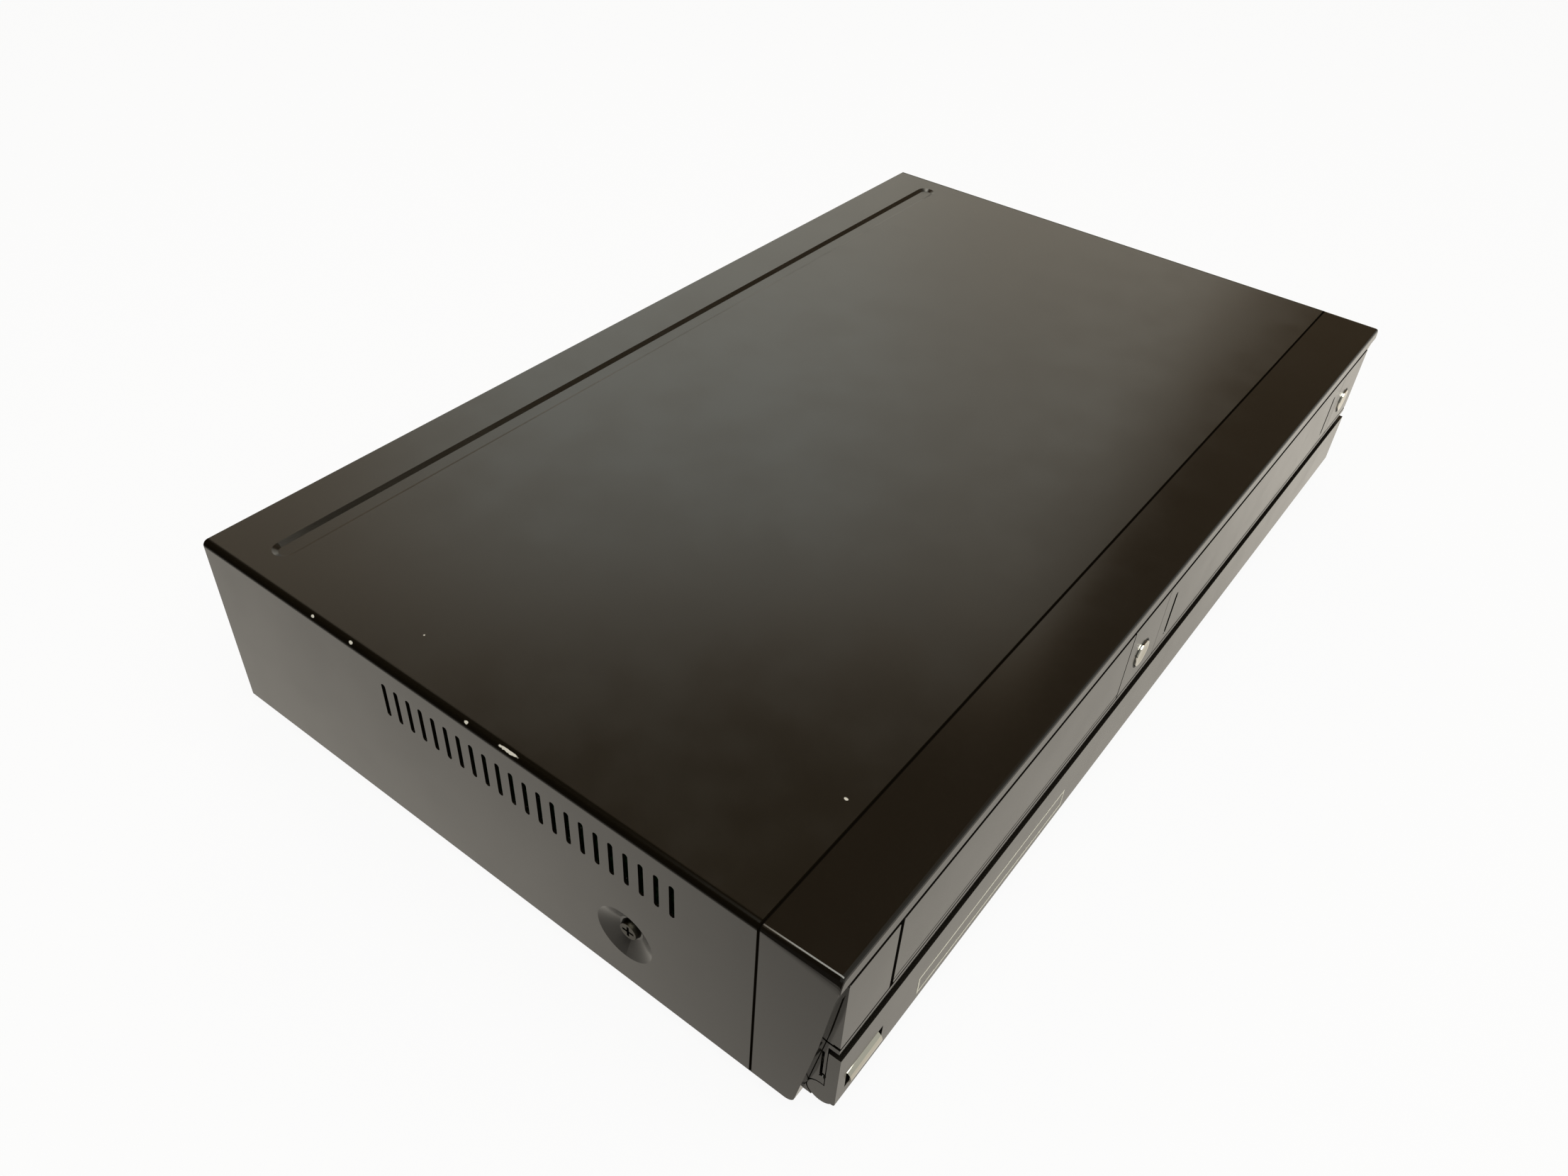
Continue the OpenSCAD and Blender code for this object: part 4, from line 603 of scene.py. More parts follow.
class Finishes:
    """Every finish of the deck, named for the real one."""

    # Stoved lacquer on sheet steel gives a deep black with a soft, slightly uneven mirror, and chips pale.
    cover_lacquer = BlackLacquer(
        "satin_black_lacquer", "#0f0c07", "#17130c", 0.21, relief=Relief.LACQUERED, grain_mm=0.9,
        # seam=True paints a shade line along the seam.
        depth_mm=0.012, mottle=0.35, seam=True,
        chips=(
            (-214.2, 69.2, 78.0, 0.8), (-214.2, 50.6, 78.0, 1.2), (-214.2, -1.0, 78.0, 0.9),
            (-214.2, -18.3, 78.0, 4.5), (-198.1, 35.9, 78.5, 0.4), (-167.8, -102.2, 78.5, 0.8),
        ),
    )
    # ABS from a polished tool mirrors clearly; its dark skin mirrors a little less than the usual 1.54.
    cap_abs = Finish(
        "glossy_black_abs", "#110e0a", "#191510", 0.11, ior=1.48, relief=Relief.GLOSSED, grain_mm=2.5,
        # seam=True paints a shade line along the seam.
        depth_mm=0.006, mottle=0.25, seam=True,
    )
    # Smoke-grey ABS from a polished tool looks paler and a little softer than the cap.
    panel_abs = Finish(
        "smoked_grey_abs", "#1b1915", "#24211c", 0.16, ior=1.54, relief=Relief.GLOSSED, grain_mm=3.0,
        depth_mm=0.006, mottle=0.25,
    )
    # Dark ABS from a spark-eroded tool is matt and finely pitted.
    inner_abs = Finish(
        "eroded_dark_abs", "#232220", "#2d2c29", 0.55, ior=1.54, relief=Relief.ERODED, grain_mm=0.35,
        depth_mm=0.03, mottle=0.4,
    )
    # Black ABS from a spark-eroded tool is matt, and a shade finer than the dark one.
    black_abs = Finish(
        "eroded_black_abs", "#151514", "#20201e", 0.5, ior=1.54, relief=Relief.ERODED, grain_mm=0.3,
        depth_mm=0.025, mottle=0.4,
    )
    # Ivory ABS scatters light in its skin, so it looks soft and warm.
    pale_abs = Finish(
        "ivory_abs", "#c9c5b8", "#b4af9f", 0.45, ior=1.54, relief=Relief.ERODED, grain_mm=0.4, depth_mm=0.02,
        mottle=0.3,
    )
    # Hot-dip zinc shows crystals of about 5 mm, each of another grey.
    zinc_sheet = Finish(
        "zinc_coated_sheet", "#a9adac", "#8b9091", 0.38, metallic=1.0, relief=Relief.SPANGLED, grain_mm=5.0,
        depth_mm=0.008, mottle=0.8,
    )
    # Blackened zinc on a turned screw glints in rings, dark and warm.
    black_zinc = Finish(
        "black_zinc_screw", "#2b2924", "#45423a", 0.34, metallic=1.0, relief=Relief.TURNED, grain_mm=0.3,
        depth_mm=0.01, mottle=0.5,
    )
    # Phosphated sheet is a dull, mottled dark grey.
    dark_sheet = Finish(
        "phosphated_sheet", "#4c4f53", "#3b3e42", 0.42, metallic=1.0, relief=Relief.SPANGLED, grain_mm=2.0,
        depth_mm=0.008, mottle=0.6,
    )
    # Diamond-turned aluminium is bright, with rings that catch the light.
    turned_aluminium = Finish(
        "turned_aluminium", "#cfd0d0", "#b4b6b7", 0.22, metallic=1.0, relief=Relief.TURNED, grain_mm=0.25,
        depth_mm=0.006, mottle=0.4, way=Way.Z,
    )
    # Centreless-ground steel mirrors in one long streak.
    ground_steel = Finish(
        "ground_steel_rod", "#c7c8c7", "#a9abab", 0.18, metallic=1.0, relief=Relief.BRUSHED, grain_mm=0.15,
        depth_mm=0.004, mottle=0.3, way=Way.Y,
    )
    # Nickel on a drawn can is warm silver, with faint drawing marks.
    motor_can = Finish(
        "nickelled_motor_can", "#b7b8b6", "#999b9a", 0.27, metallic=1.0, relief=Relief.BRUSHED, grain_mm=0.3,
        depth_mm=0.006, mottle=0.4, way=Way.Z,
    )
    # Aluminium keeps the lines of its extrusion die, and looks silky.
    extruded_aluminium = Finish(
        "extruded_aluminium", "#b9bbbb", "#9fa2a3", 0.35, metallic=1.0, relief=Relief.BRUSHED, grain_mm=0.4,
        depth_mm=0.01, mottle=0.5, way=Way.Z,
    )
    # Chrome on ABS is almost a mirror, and waves slightly with the moulding below.
    bright_trim = Finish(
        "chromed_abs", "#d9d6cc", "#c2bfb5", 0.09, metallic=1.0, relief=Relief.GLOSSED, grain_mm=2.0,
        depth_mm=0.004, mottle=0.3,
    )
    # Gilt on turned brass is a clear yellow, with fine rings.
    gilt = Finish(
        "gilt_brass", "#d2b05a", "#b08f3f", 0.25, metallic=1.0, relief=Relief.TURNED, grain_mm=0.3,
        depth_mm=0.005, mottle=0.4, way=Way.Y,
    )
    # Acetal is milky white and slightly waxy.
    acetal = Finish(
        "natural_acetal", "#d8d5c9", "#c6c2b3", 0.4, ior=1.48, relief=Relief.ERODED, grain_mm=0.5,
        depth_mm=0.012, mottle=0.35,
    )
    # Nitrile rubber is a dead matt black.
    nitrile = Finish(
        "nitrile_rubber", "#161616", "#222221", 0.72, ior=1.52, relief=Relief.ERODED, grain_mm=0.25,
        depth_mm=0.03, mottle=0.5,
    )
    # Solder mask on glass epoxy is a glossy green that the cloth below ripples.
    board = GlassEpoxy(
        "green_glass_epoxy", "#1f4d2c", "#2a6138", 0.3, ior=1.55, relief=Relief.WOVEN, grain_mm=0.5,
        depth_mm=0.01, mottle=0.4,
    )
    # The main board has the same mask, and chips of dull black epoxy stand on it.
    chip_board = SteppedBoard(
        "main_board_mask", "#1f4d2c", "#2a6138", 0.3, ior=1.55, relief=Relief.WOVEN, grain_mm=0.5,
        depth_mm=0.01, mottle=0.4,
    )
    # Phenolic paper laminate is a dull brown, with the sheets' weave in it.
    power_laminate = Finish(
        "brown_paper_laminate", "#8a6536", "#74522a", 0.45, ior=1.52, relief=Relief.WOVEN, grain_mm=0.6,
        depth_mm=0.01, mottle=0.5,
    )
    # Polyester tape round a coil shines yellow, and its turns overlap in steps.
    winding = WoundCore(
        "polyester_winding_tape", "#c9a32d", "#a9841d", 0.38, ior=1.58, relief=Relief.WOUND, grain_mm=1.2,
        depth_mm=0.05, mottle=0.5, way=Way.Z,
    )
    # PVC shrunk over a can is dark blue and glossy.
    sleeve = Finish(
        "shrunk_pvc_sleeve", "#1d2030", "#2a2e44", 0.24, ior=1.53, relief=Relief.GLOSSED, grain_mm=1.5,
        depth_mm=0.01, mottle=0.3,
    )
    # Laminated polyester round flat wires is pale, with a dull shine.
    cable = FlatCable(
        "flat_cable", "#dddbd2", "#c9c6bb", 0.4, ior=1.5, relief=Relief.GLOSSED, grain_mm=1.0, depth_mm=0.02,
        mottle=0.2,
    )
    # Pad-printing ink is matt, so its pale line stays visible in a dark gloss.
    pen_print = Finish(
        "pad_printed_grey", "#ece8da", "#dcd8ca", 0.5, ior=1.5, relief=Relief.ERODED, grain_mm=0.2,
        depth_mm=0.004, mottle=0.4,
    )
    # Coloured polypropylene is soft and waxy; the three colours tell the sockets apart.
    yellow_ring = Finish(
        "yellow_polypropylene", "#c9a51c", "#ad8b10", 0.42, ior=1.49, relief=Relief.ERODED, grain_mm=0.3,
    )
    white_ring = Finish(
        "white_polypropylene", "#d5d3cb", "#bfbdb4", 0.42, ior=1.49, relief=Relief.ERODED, grain_mm=0.3,
    )
    red_ring = Finish(
        "red_polypropylene", "#a8231c", "#8a1913", 0.42, ior=1.49, relief=Relief.ERODED, grain_mm=0.3,
    )


def dress(node: str, finish: Finish) -> Object:
    """Give a CAD node its finish.

    Args:
        node: name of the node.
        finish: the finish that it takes.

    Returns:
        The node's object.
    """
    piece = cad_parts[node]
    piece.data.materials.clear()
    piece.data.materials.append(finish.build())
    return piece


def crease(node: str, least_turn: float) -> None:
    """Shade a CAD node's shallow folds as edges, where smoothing would smear them over flat sheet.

    Args:
        node: name of the node.
        least_turn: smallest turn that counts as an edge, in degrees.
    """
    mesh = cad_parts[node].data
    smoothed = mesh.attributes.get("custom_normal")
    if smoothed is not None:
        mesh.attributes.remove(smoothed)
    mesh.set_sharp_from_angle(angle=math.radians(least_turn))


def soften(node: str, edge: Edge) -> None:
    """Round a CAD node's sharp edges a little.

    Args:
        node: name of the node.
        edge: the rounding that they take.
    """
    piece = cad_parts[node]
    weld = piece.modifiers.new("join", "WELD")
    weld.merge_threshold = WELD_MM * MM
    bevel = piece.modifiers.new("edge", "BEVEL")
    bevel.width = edge.width_mm * MM
    bevel.segments = edge.faces
    bevel.limit_method = "ANGLE"
    bevel.angle_limit = math.radians(SOFT_TURN)
    bevel.use_clamp_overlap = True
    bevel.harden_normals = False


def close_mesh(shape: bmesh.types.BMesh, name: str, smooth: bool = False) -> bpy.types.Mesh:
    """Turn every face outwards and make the finished mesh.

    Args:
        shape: the shape, which is freed.
        name: name of the mesh.
        smooth: whether its faces are shaded as one round surface.

    Returns:
        The new mesh.
    """
    bmesh.ops.recalc_face_normals(shape, faces=shape.faces[:])
    for face in shape.faces:
        face.smooth = smooth
    mesh = bpy.data.meshes.new(name)
    shape.to_mesh(mesh)
    shape.free()
    return mesh


def lathe(name: str, profile: Sequence[tuple[float, float]], steps: int = 48) -> bpy.types.Mesh:
    """Turn a closed profile about Z into a smooth ring.

    Args:
        name: name of the mesh.
        profile: radius and height of each corner, in millimetres, in order round the section.
        steps: sides of the turned shape.

    Returns:
        The new mesh.
    """
    shape = bmesh.new()
    rings = []
    for step in range(steps):
        turn = 2 * math.pi * step / steps
        along, across = math.cos(turn), math.sin(turn)
        rings.append([shape.verts.new((r * MM * along, r * MM * across, z * MM)) for r, z in profile])
    for step, ring in enumerate(rings):
        after = rings[(step + 1) % steps]
        for place in range(len(profile)):
            nxt = (place + 1) % len(profile)
            shape.faces.new((ring[place], after[place], after[nxt], ring[nxt]))
    return close_mesh(shape, name, smooth=True)


def frame_strip(name: str, width: float, height: float, line: float, lift: float) -> bpy.types.Mesh:
    """Make a thin upright rectangle outline in the XZ plane, facing -Y.

    Args:
        name: name of the mesh.
        width: outer width in millimetres.
        height: outer height in millimetres.
        line: width of the printed line.
        lift: how far the print stands proud.

    Returns:
        The new mesh.
    """
    shape = bmesh.new()
    sides = []
    for depth in (0.0, -lift):
        for inset in (0.0, line):
            half_w, half_h = width / 2 - inset, height / 2 - inset
            corners = ((-half_w, -half_h), (half_w, -half_h), (half_w, half_h), (-half_w, half_h))
            sides.append([shape.verts.new((x * MM, depth * MM, z * MM)) for x, z in corners])
    back_out, back_in, front_out, front_in = sides
    for one, two in ((front_out, front_in), (back_in, back_out), (back_out, front_out), (front_in, back_in)):
        for place in range(4):
            nxt = (place + 1) % 4
            shape.faces.new((one[place], one[nxt], two[nxt], two[place]))
    return close_mesh(shape, name)


def add_piece(mesh: bpy.types.Mesh, place: Matrix, finish: Finish, body: str) -> Object:
    """Place a new piece, give it its finish and let it ride on a body.

    Args:
        mesh: the piece's mesh, which also gives its name.
        place: where it stands.
        finish: the finish that it takes.
        body: the body that carries it.

    Returns:
        The new piece.
    """
    piece = bpy.data.objects.new(mesh.name, mesh)
    bpy.context.scene.collection.objects.link(piece)
    piece.matrix_world = place
    mesh.materials.append(finish.build())
    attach(piece, body)
    return piece


def facing_front(x: float, y: float, z: float) -> Matrix:
    """Return a place, in millimetres, whose Z axis points out of the front."""
    return Matrix.Translation((x * MM, y * MM, z * MM)) @ Matrix.Rotation(math.radians(90), 4, "X")


def facing_back(x: float, y: float, z: float) -> Matrix:
    """Return a place, in millimetres, whose Z axis points out of the back."""
    return Matrix.Translation((x * MM, y * MM, z * MM)) @ Matrix.Rotation(math.radians(-90), 4, "X")


@dataclass
class SubAssembly:
    """Nodes of the deck that are dressed together, with the small pieces added to them."""

    def finishes(self) -> dict[str, Finish]:
        """Return the finish of each node."""
        return {}

    def edges(self) -> dict[str, Edge]:
        """Return the rounding of each node that has one."""
        return {}

    def add_details(self) -> list[Object]:
        """Add the small pieces and return them."""
        return []

    def build(self) -> list[Object]:
        """Dress the nodes, round their edges and add the small pieces.

        Returns:
            The nodes and the small pieces.
        """
        pieces = [dress(node, finish) for node, finish in self.finishes().items()]
        for node, edge in self.edges().items():
            soften(node, edge)
        return pieces + self.add_details()


@dataclass
class CaseShell(SubAssembly):
    """Folded sheet cover, base pan, rear sheet, feet and screws."""

    trough_turn: float = 20.0
    foot_edge: Edge = Edge(0.6)
    screw_edge: Edge = Edge(0.15)

    def finishes(self) -> dict[str, Finish]:
        """Return the finish of each node of the case."""
        return {
            "top_cover": Finishes.cover_lacquer,
            "chassis_pan": Finishes.zinc_sheet,
            "support_posts": Finishes.zinc_sheet,
            "rear_panel": Finishes.cover_lacquer,
            "feet": Finishes.nitrile,
            "cover_screws": Finishes.black_zinc,
        }

    def edges(self) -> dict[str, Edge]:
        """Return the rounding of the feet and screws."""
        return {"feet": self.foot_edge, "cover_screws": self.screw_edge}

    def build(self) -> list[Object]:
        """Keep the pressed trough crisp, then dress the case."""
        crease("top_cover", self.trough_turn)
        return super().build()


@dataclass
class MouldedFront(SubAssembly):
    """Glossy cap, panels, doors, cassette flap and the print on the lower door."""

    panel_nodes: tuple[str, ...] = (
        "badge_panel", "centre_panel", "right_panel", "tray_door", "vcr_flap", "flip_door",
    )
    panel_edge: Edge = Edge(0.3)
    cap_edge: Edge = Edge(0.35)
    print_width: float = 93.0
    print_height: float = 8.0
    print_centre: tuple[float, float] = (-121.2, 16.5)
    print_line: float = 0.7
    print_lift: float = 0.08
    door_face: float = -134.1

    def finishes(self) -> dict[str, Finish]:
        """Return the finish of the cap and of each panel."""
        return {"front_bezel": Finishes.cap_abs, **dict.fromkeys(self.panel_nodes, Finishes.panel_abs)}

    def edges(self) -> dict[str, Edge]:
        """Return the rounding of the cap and of each panel."""
        return {"front_bezel": self.cap_edge, **dict.fromkeys(self.panel_nodes, self.panel_edge)}

    def add_details(self) -> list[Object]:
        """Print the plain outline on the lower door.

        Returns:
            The print, as the only small piece.
        """
        size = (self.print_width, self.print_height, self.print_line, self.print_lift)
        mesh = frame_strip("door_outline", *size)
        x, z = self.print_centre
        place = Matrix.Translation((x * MM, self.door_face * MM, z * MM))
        return [add_piece(mesh, place, Finishes.pen_print, "door")]


@dataclass
class ControlBay(SubAssembly):
    """Power bar, eject buttons, and the keys and sockets behind the lower door."""

    button_nodes: tuple[str, ...] = ("power_button", "dvd_eject_button", "vcr_eject_button")
    key_nodes: tuple[str, ...] = ("key_rewind", "key_play", "key_stop")
    button_edge: Edge = Edge(0.35, 3)
    key_edge: Edge = Edge(0.3)
    eject_places: tuple[tuple[float, float], ...] = ((-28.0, 50.5), (191.9, 50.5))
    panel_face: float = -133.3
    jack_places: tuple[float, ...] = (120.0, 138.0, 156.0)
    jack_height: float = 24.5
    jack_face: float = -128.8
    well_profile: tuple[tuple[float, float], ...] = (
        (5.32, -0.5), (5.9, -0.5), (5.9, 0.05), (5.6, 0.16), (5.32, 0.05),
    )
    ring_profile: tuple[tuple[float, float], ...] = (
        (2.4, 0.0), (4.15, 0.0), (4.15, 0.22), (3.9, 0.4), (2.6, 0.4), (2.4, 0.22),
    )

    def finishes(self) -> dict[str, Finish]:
        """Return the finish of each control and socket."""
        return {
            **dict.fromkeys(self.button_nodes, Finishes.bright_trim),
            "control_panel": Finishes.inner_abs,
            **dict.fromkeys(self.key_nodes, Finishes.black_abs),
            "front_jacks": Finishes.gilt,
        }

    def edges(self) -> dict[str, Edge]:
        """Return the rounding of each button and key."""
        return {
            **dict.fromkeys(self.button_nodes, self.button_edge),
            **dict.fromkeys(self.key_nodes, self.key_edge),
        }

    def add_details(self) -> list[Object]:
        """Add the lips of the wells and the rings of the sockets."""
        return self.trim_wells() + self.ring_jacks()

    def trim_wells(self) -> list[Object]:
        """Set a thin dark lip round each eject button.

        Returns:
            Both lips.
        """
        lips = []
        for number, (x, z) in enumerate(self.eject_places, 1):
            mesh = lathe(f"button_well_{number}", self.well_profile)
            place = facing_front(x, self.panel_face, z)
            lips.append(add_piece(mesh, place, Finishes.black_abs, "chassis"))
        return lips

    def ring_jacks(self) -> list[Object]:
        """Set the coloured rings of the front sockets.

        Returns:
            The three rings.
        """
        colours = (Finishes.yellow_ring, Finishes.white_ring, Finishes.red_ring)
        rings = []
        for number, (x, finish) in enumerate(zip(self.jack_places, colours), 1):
            mesh = lathe(f"front_jack_ring_{number}", self.ring_profile)
            place = facing_front(x, self.jack_face, self.jack_height)
            rings.append(add_piece(mesh, place, finish, "chassis"))
        return rings


@dataclass
class Boards(SubAssembly):
    """Circuit boards with their chips, transformer, capacitors, heat sink and flat cables."""

    capacitor_edge: Edge = Edge(0.5)
    core_edge: Edge = Edge(0.3)

    def finishes(self) -> dict[str, Finish]:
        """Return the finish of each piece of the electronics."""
        return {
            "main_board": Finishes.chip_board,
            "front_board": Finishes.board,
            "power_board": Finishes.power_laminate,
            "transformer": Finishes.winding,
            "capacitors": Finishes.sleeve,
            "heat_sink": Finishes.extruded_aluminium,
            "ribbon_cables": Finishes.cable,
        }

    def edges(self) -> dict[str, Edge]:
        """Return the rounding of the capacitors and of the transformer."""
        return {"capacitors": self.capacitor_edge, "transformer": self.core_edge}


@dataclass
class RearSockets(SubAssembly):
    """Tuner, phono and picture sockets, the two wide sockets, mains inlet and fan."""

    phono_columns: tuple[float, ...] = (20.0, 36.0, 52.0)
    phono_rows: tuple[float, ...] = (18.5, 33.5)
    ring_face: float = 127.7
    ring_profile: tuple[tuple[float, float], ...] = (
        (2.1, 0.0), (4.15, 0.0), (4.15, 0.24), (3.9, 0.42), (2.3, 0.42), (2.1, 0.24),
    )
    fan_edge: Edge = Edge(0.5)

    def finishes(self) -> dict[str, Finish]:
        """Return the finish of each piece at the rear."""
        return {
            "tuner": Finishes.motor_can,
            "rear_jacks": Finishes.black_abs,
            "scart_sockets": Finishes.black_abs,
            "mains_inlet": Finishes.black_abs,
            "fan_frame": Finishes.black_abs,
            "fan_rotor": Finishes.inner_abs,
        }

    def edges(self) -> dict[str, Edge]:
        """Return the rounding of the fan's frame."""
        return {"fan_frame": self.fan_edge}

    def add_details(self) -> list[Object]:
        """Set the coloured rings of the phono sockets, a colour to a column.

        Returns:
            The six rings.
        """
        colours = (Finishes.yellow_ring, Finishes.white_ring, Finishes.red_ring)
        rings = []
        for column, (x, finish) in enumerate(zip(self.phono_columns, colours), 1):
            for row, z in enumerate(self.phono_rows, 1):
                mesh = lathe(f"rear_ring_{column}_{row}", self.ring_profile)
                place = facing_back(x, self.ring_face, z)
                rings.append(add_piece(mesh, place, finish, "chassis"))
        return rings


@dataclass
class DiscDrive(SubAssembly):
    """Disc tray, loader base, sled and turntable in their housing."""

    tray_edge: Edge = Edge(0.4)
    sled_edge: Edge = Edge(0.4)

    def finishes(self) -> dict[str, Finish]:
        """Return the finish of each piece of the disc drive."""
        return {
            "dvd_housing": Finishes.black_abs,
            "clamp_bridge": Finishes.zinc_sheet,
            "clamp_puck": Finishes.black_abs,
            "disc_tray": Finishes.inner_abs,
            "tray_pinion": Finishes.acetal,
            "loader_base": Finishes.zinc_sheet,
            "loader_motors": Finishes.motor_can,
            "sled_rods": Finishes.ground_steel,
            "laser_sled": Finishes.dark_sheet,
            "sled_screw": Finishes.ground_steel,
            "turntable": Finishes.black_abs,
        }

    def edges(self) -> dict[str, Edge]:
        """Return the rounding of the tray and of the sled."""
        return {"disc_tray": self.tray_edge, "laser_sled": self.sled_edge}


@dataclass
class TapeDeck(SubAssembly):
    """Tape deck plate, cassette carriage, drums, reels and the rest of the tape path."""

    drum_edge: Edge = Edge(0.4)
    roller_edge: Edge = Edge(0.4)

    def finishes(self) -> dict[str, Finish]:
        """Return the finish of each piece of the tape deck."""
        return {
            "deck_plate": Finishes.zinc_sheet,
            "deck_brackets": Finishes.zinc_sheet,
            "carriage": Finishes.dark_sheet,
            "carriage_gear": Finishes.acetal,
            "lower_drum": Finishes.turned_aluminium,
            "head_drum": Finishes.turned_aluminium,
            "capstan": Finishes.ground_steel,
            "pinch_arm": Finishes.zinc_sheet,
            "pinch_roller": Finishes.nitrile,
            "reel_supply": Finishes.pale_abs,
            "reel_takeup": Finishes.pale_abs,
            "post_left": Finishes.acetal,
            "post_right": Finishes.acetal,
            "tape_path": Finishes.motor_can,
            "drive_motors": Finishes.motor_can,
        }

    def edges(self) -> dict[str, Edge]:
        """Return the rounding of the drum and of the roller."""
        return {"head_drum": self.drum_edge, "pinch_roller": self.roller_edge}


@dataclass
class PaperSweep:
    """White paper under the deck, which keeps its soft shadow and which its gloss mirrors.

    Args:
        size: side of the sheet in metres.
        paper: colour of the paper.
        mirrored: colour that gloss mirrors from it.
        shade: share of the lit paper in what the camera sees.
        beside: how bright its painted glow is to gloss, over Y in metres.
        ahead: the same over X.
        distant: how it dims far to the left, over X.
    """

    size: float = 6.0
    paper: str = "#f4f4f2"
    mirrored: str = "#fff8eb"
    shade: float = 0.08
    beside: Fade = Fade(-0.12, 0.0, 0.69, 0.93)
    ahead: Fade = Fade(0.02, 0.24, 0.69, 0.93)
    distant: Fade = Fade(-0.35, -0.28, 0.08, 1.0)

    def build(self) -> Object:
        """Returns:
            The sheet of paper.
        """
        shape = bmesh.new()
        bmesh.ops.create_grid(shape, x_segments=1, y_segments=1, size=self.size / 2)
        mesh = close_mesh(shape, "floor")
        mesh.materials.append(self.dye())
        floor = bpy.data.objects.new("floor", mesh)
        bpy.context.scene.collection.objects.link(floor)
        return floor

    def dye(self) -> bpy.types.Material:
        """Make the paper: white to the camera but for a soft shadow, and to gloss a painted glow with
        painted shade near the camera and far to the left.

        Returns:
            The paper's material.
        """
        material = bpy.data.materials.new("white_paper_sweep")
        material.use_nodes = True
        tree = material.node_tree
        tree.nodes.clear()
        path = add_node(tree, "ShaderNodeLightPath")
        paper = add_node(tree, "ShaderNodeBsdfDiffuse", {"Color": linear(self.paper)})
        white = add_node(tree, "ShaderNodeEmission", {"Color": linear("#ffffff"), "Strength": 1.0})
        seen = add_node(tree, "ShaderNodeMixShader", {0: self.shade}, {1: white, 2: paper})
        spot = add_node(tree, "ShaderNodeTexCoord").outputs["Object"]
        ground = add_node(tree, "ShaderNodeSeparateXYZ", links={0: spot})
        over_x, over_y = ({"Value": ground.outputs[name]} for name in ("X", "Y"))
        beside = add_node(tree, "ShaderNodeMapRange", self.beside.settings(), over_y)
        ahead = add_node(tree, "ShaderNodeMapRange", self.ahead.settings(), over_x)
        distant = add_node(tree, "ShaderNodeMapRange", self.distant.settings(), over_x)
        near = add_node(tree, "ShaderNodeMath", {"operation": "MAXIMUM"}, {0: beside, 1: ahead})
        glow = add_node(tree, "ShaderNodeMath", {"operation": "MULTIPLY"}, {0: near, 1: distant})
        # Painted light: to glossy rays the paper glows, dimmer towards the camera as a painted shadow and
        # dim far to the left.
        mirror = add_node(tree, "ShaderNodeEmission", {"Color": linear(self.mirrored)}, {"Strength": glow})
        glossy, camera = path.outputs["Is Glossy Ray"], path.outputs["Is Camera Ray"]
        other = add_node(tree, "ShaderNodeMixShader", links={0: glossy, 1: paper, 2: mirror})
        whole = add_node(tree, "ShaderNodeMixShader", links={0: camera, 1: other, 2: seen})
        add_node(tree, "ShaderNodeOutputMaterial", links={"Surface": whole})
        return material


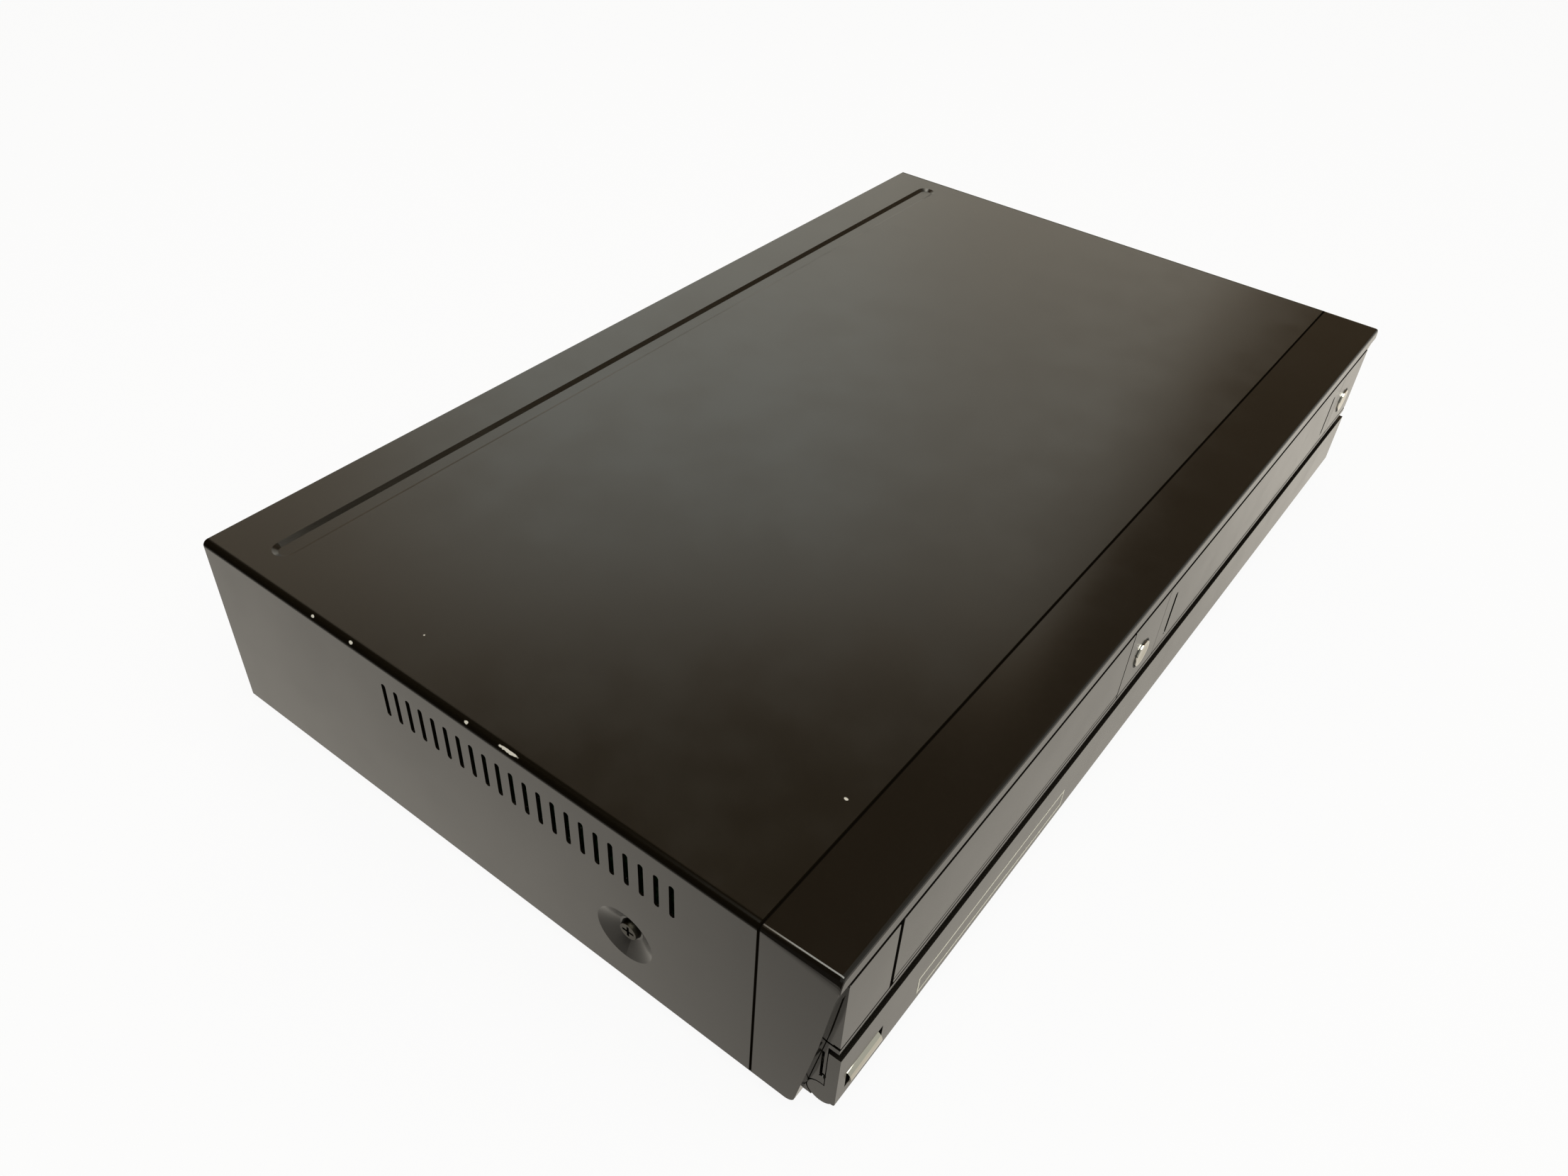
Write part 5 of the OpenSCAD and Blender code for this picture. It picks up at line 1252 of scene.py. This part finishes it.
@dataclass
class Room:
    """Pale room round the deck: a white background to the camera, and soft lights that gloss mirrors.

    Azimuths run from +X towards +Y and elevations up from the horizon, both in degrees.

    Args:
        warm: colour of the dim walls.
        neutral: colour of the lights.
        lean: how far the bright wall's edge leans, in radians over its height.
        wall_edge: where the bright wall begins.
        wall_inner: how it brightens.
        wall_far: how it dims again.
        wall_tail: where it ends.
        wall_top: how it ends upwards.
        wall_low: how it begins upwards.
        front: the light ahead of the front, over azimuth.
        west: how the room dims to the left, over X.
        ceiling: how it dims overhead, over height.
        strip: region of the ceiling strip, over X twice, Y and height.
        skylight: azimuth, elevation and half width of the skylight.
        skylight_rim: how the skylight ends, as shares of its half width.
        wall_power: strength of the bright wall.
        front_power: strength of the light ahead.
        strip_power: strength of the ceiling strip.
        skylight_power: strength of the skylight.
        dim: strength of the room itself.
    """

    warm: str = "#ffdcae"
    neutral: str = "#fefff4"
    lean: float = 0.35
    wall_edge: Fade = Fade.round_about(3.5, 7)
    wall_inner: Fade = Fade.round_about(25, 34, 0.8, 1.0)
    wall_far: Fade = Fade.round_about(48, 66, 1.0, 0.45)
    wall_tail: Fade = Fade.round_about(74, 84, 1.0, 0.0)
    wall_top: Fade = Fade.upward(37, 48, 1.0, 0.0)
    wall_low: Fade = Fade.upward(22, 31, 0.8, 1.0)
    front: Fade = Fade.round_about(-30, -5, 1.0, 0.0)
    west: Fade = Fade(-0.75, -0.4, 0.12, 1.0)
    ceiling: Fade = Fade(0.87, 0.91, 1.0, 0.12)
    strip: tuple[Fade, Fade, Fade, Fade] = (
        Fade(-0.44, -0.36), Fade(0.12, 0.32, 1.0, 0.0), Fade(0.28, 0.33, 1.0, 0.0), Fade(0.84, 0.87),
    )
    skylight: tuple[float, float, float] = (-135.0, 50.0, 5.0)
    skylight_rim: tuple[float, float] = (0.6, 1.4)
    wall_power: float = 1.3
    front_power: float = 0.3
    strip_power: float = 8.0
    skylight_power: float = 6.0
    dim: float = 0.21

    def build(self) -> bpy.types.World:
        """Make the world from its walls, lights and background.

        Returns:
            The world.
        """
        world = bpy.data.worlds.new("room")
        bpy.context.scene.world = world
        world.use_nodes = True
        tree = world.node_tree
        tree.nodes.clear()
        path = add_node(tree, "ShaderNodeLightPath")
        way = add_node(tree, "ShaderNodeTexCoord").outputs["Generated"]
        axes = add_node(tree, "ShaderNodeSeparateXYZ", links={0: way})
        east, north, rise = (axes.outputs[name] for name in ("X", "Y", "Z"))
        azimuth = add_node(tree, "ShaderNodeMath", {"operation": "ARCTAN2"}, {0: north, 1: east})
        # Only gloss mirrors the ceiling strip, so that it doesn't light the deck.
        inside = {0: overlap(tree, tuple(zip((east, east, north, rise), self.strip)))}
        inside[1] = path.outputs["Is Glossy Ray"]
        lights = (
            (self.bright_wall(tree, azimuth, rise), self.wall_power),
            (overlap(tree, ((azimuth, self.front),)), self.front_power),
            (add_node(tree, "ShaderNodeMath", {"operation": "MULTIPLY"}, inside), self.strip_power),
            (self.round_skylight(tree, way), self.skylight_power),
        )
        room = overlap(tree, ((east, self.west), (rise, self.ceiling)))
        strength = add_node(tree, "ShaderNodeMath", {"operation": "MULTIPLY", 1: self.dim}, {0: room})
        lit: Optional[Node] = None
        for light, power in lights:
            more = {"operation": "MULTIPLY_ADD", 1: power}
            strength = add_node(tree, "ShaderNodeMath", more, {0: light, 2: strength})
            lit = light if lit is None else add_node(
                tree, "ShaderNodeMath", {"operation": "MAXIMUM"}, {0: lit, 1: light}
            )
        hues = {"data_type": "RGBA", FIRST: linear(self.warm), SECOND: linear(self.neutral)}
        colour = add_node(tree, "ShaderNodeMix", hues, {SHARE: lit})
        wall = add_node(tree, "ShaderNodeBackground", links={"Color": colour, "Strength": strength})
        white = add_node(tree, "ShaderNodeBackground", {"Color": linear("#ffffff"), "Strength": 1.0})
        camera = path.outputs["Is Camera Ray"]
        whole = add_node(tree, "ShaderNodeMixShader", links={0: camera, 1: wall, 2: white})
        add_node(tree, "ShaderNodeOutputWorld", links={"Surface": whole})
        return world

    def bright_wall(self, tree: Tree, azimuth: Node, rise: bpy.types.NodeSocket) -> Node:
        """Make the bright wall that the cover mirrors.

        Args:
            tree: node tree of the world.
            azimuth: azimuth looked in, in radians.
            rise: height of the direction looked in.

        Returns:
            The node that gives its brightness, from 0 to 1.
        """
        tilt = add_node(tree, "ShaderNodeMath", {"operation": "MULTIPLY", 1: self.lean}, {0: rise})
        leaning = add_node(tree, "ShaderNodeMath", {"operation": "SUBTRACT"}, {0: azimuth, 1: tilt})
        fades = (
            (leaning, self.wall_edge), (azimuth, self.wall_inner), (azimuth, self.wall_far),
            (azimuth, self.wall_tail), (rise, self.wall_top), (rise, self.wall_low),
        )
        return overlap(tree, fades)

    def round_skylight(self, tree: Tree, way: bpy.types.NodeSocket) -> Node:
        """Make the small round skylight that rounded edges mirror.

        Args:
            tree: node tree of the world.
            way: direction looked in.

        Returns:
            The node that gives 1 inside the skylight and 0 outside it.
        """
        turn, lift, spread = (math.radians(angle) for angle in self.skylight)
        middle = (math.cos(lift) * math.cos(turn), math.cos(lift) * math.sin(turn), math.sin(lift))
        near = add_node(tree, "ShaderNodeVectorMath", {"operation": "DOT_PRODUCT", 1: middle}, {0: way})
        inner, outer = (math.cos(spread * share) for share in self.skylight_rim)
        return add_node(tree, "ShaderNodeMapRange", Fade(outer, inner).settings(), {"Value": near})


@dataclass
class Studio:
    """Paper sweep, room, one soft lamp and the camera."""

    lamp_power: float = 14.0
    lamp_side: float = 1.6
    lamp_place: tuple[float, float, float] = (-0.3, -0.5, 1.5)
    lamp_turn: tuple[float, float, float] = (18.0, -11.0, 0.0)
    lens_mm: float = 27.973
    sensor_mm: float = 36.0
    nearest_seen: float = 0.01
    camera_place: tuple[float, float, float] = (-0.357582, -0.208849, 0.340144)
    camera_turn: tuple[float, float, float] = (49.196, -2.758, -52.794)

    def build(self) -> list[bpy.types.ID]:
        """Lay the paper, light the room, set the camera and return them all."""
        bpy.context.scene.view_settings.view_transform = "Standard"
        return [PaperSweep().build(), Room().build(), self.hang_lamp(), self.set_camera()]

    def hang_lamp(self) -> Object:
        """Hang one wide soft lamp above, which gloss doesn't mirror.

        Returns:
            The lamp.
        """
        light = bpy.data.lights.new("soft_box", "AREA")
        light.shape = "RECTANGLE"
        light.size = light.size_y = self.lamp_side
        light.energy = self.lamp_power
        lamp = bpy.data.objects.new("soft_box", light)
        lamp.location = self.lamp_place
        lamp.rotation_euler = tuple(math.radians(turn) for turn in self.lamp_turn)
        lamp.visible_glossy = False
        bpy.context.scene.collection.objects.link(lamp)
        return lamp

    def set_camera(self) -> Object:
        """Stand the camera above the left front corner, looking down.

        Returns:
            The camera.
        """
        data = bpy.data.cameras.new("camera")
        data.lens = self.lens_mm
        data.sensor_width = self.sensor_mm
        data.sensor_fit = "HORIZONTAL"
        data.clip_start = self.nearest_seen
        camera = bpy.data.objects.new("camera", data)
        camera.location = self.camera_place
        camera.rotation_euler = tuple(math.radians(turn) for turn in self.camera_turn)
        bpy.context.scene.collection.objects.link(camera)
        bpy.context.scene.camera = camera
        return camera


def main() -> None:
    """Build the deck's sub-assemblies and the studio in order, and report each piece."""
    logging.basicConfig(level=logging.INFO, format="%(name)s: %(message)s")
    assemblies = (
        CaseShell(), MouldedFront(), ControlBay(), Boards(),
        RearSockets(), DiscDrive(), TapeDeck(), Studio(),
    )
    for assembly in assemblies:
        for piece in assembly.build():
            LOG.info("%s: %s", type(assembly).__name__, piece.name)


if __name__ == "__main__":
    main()
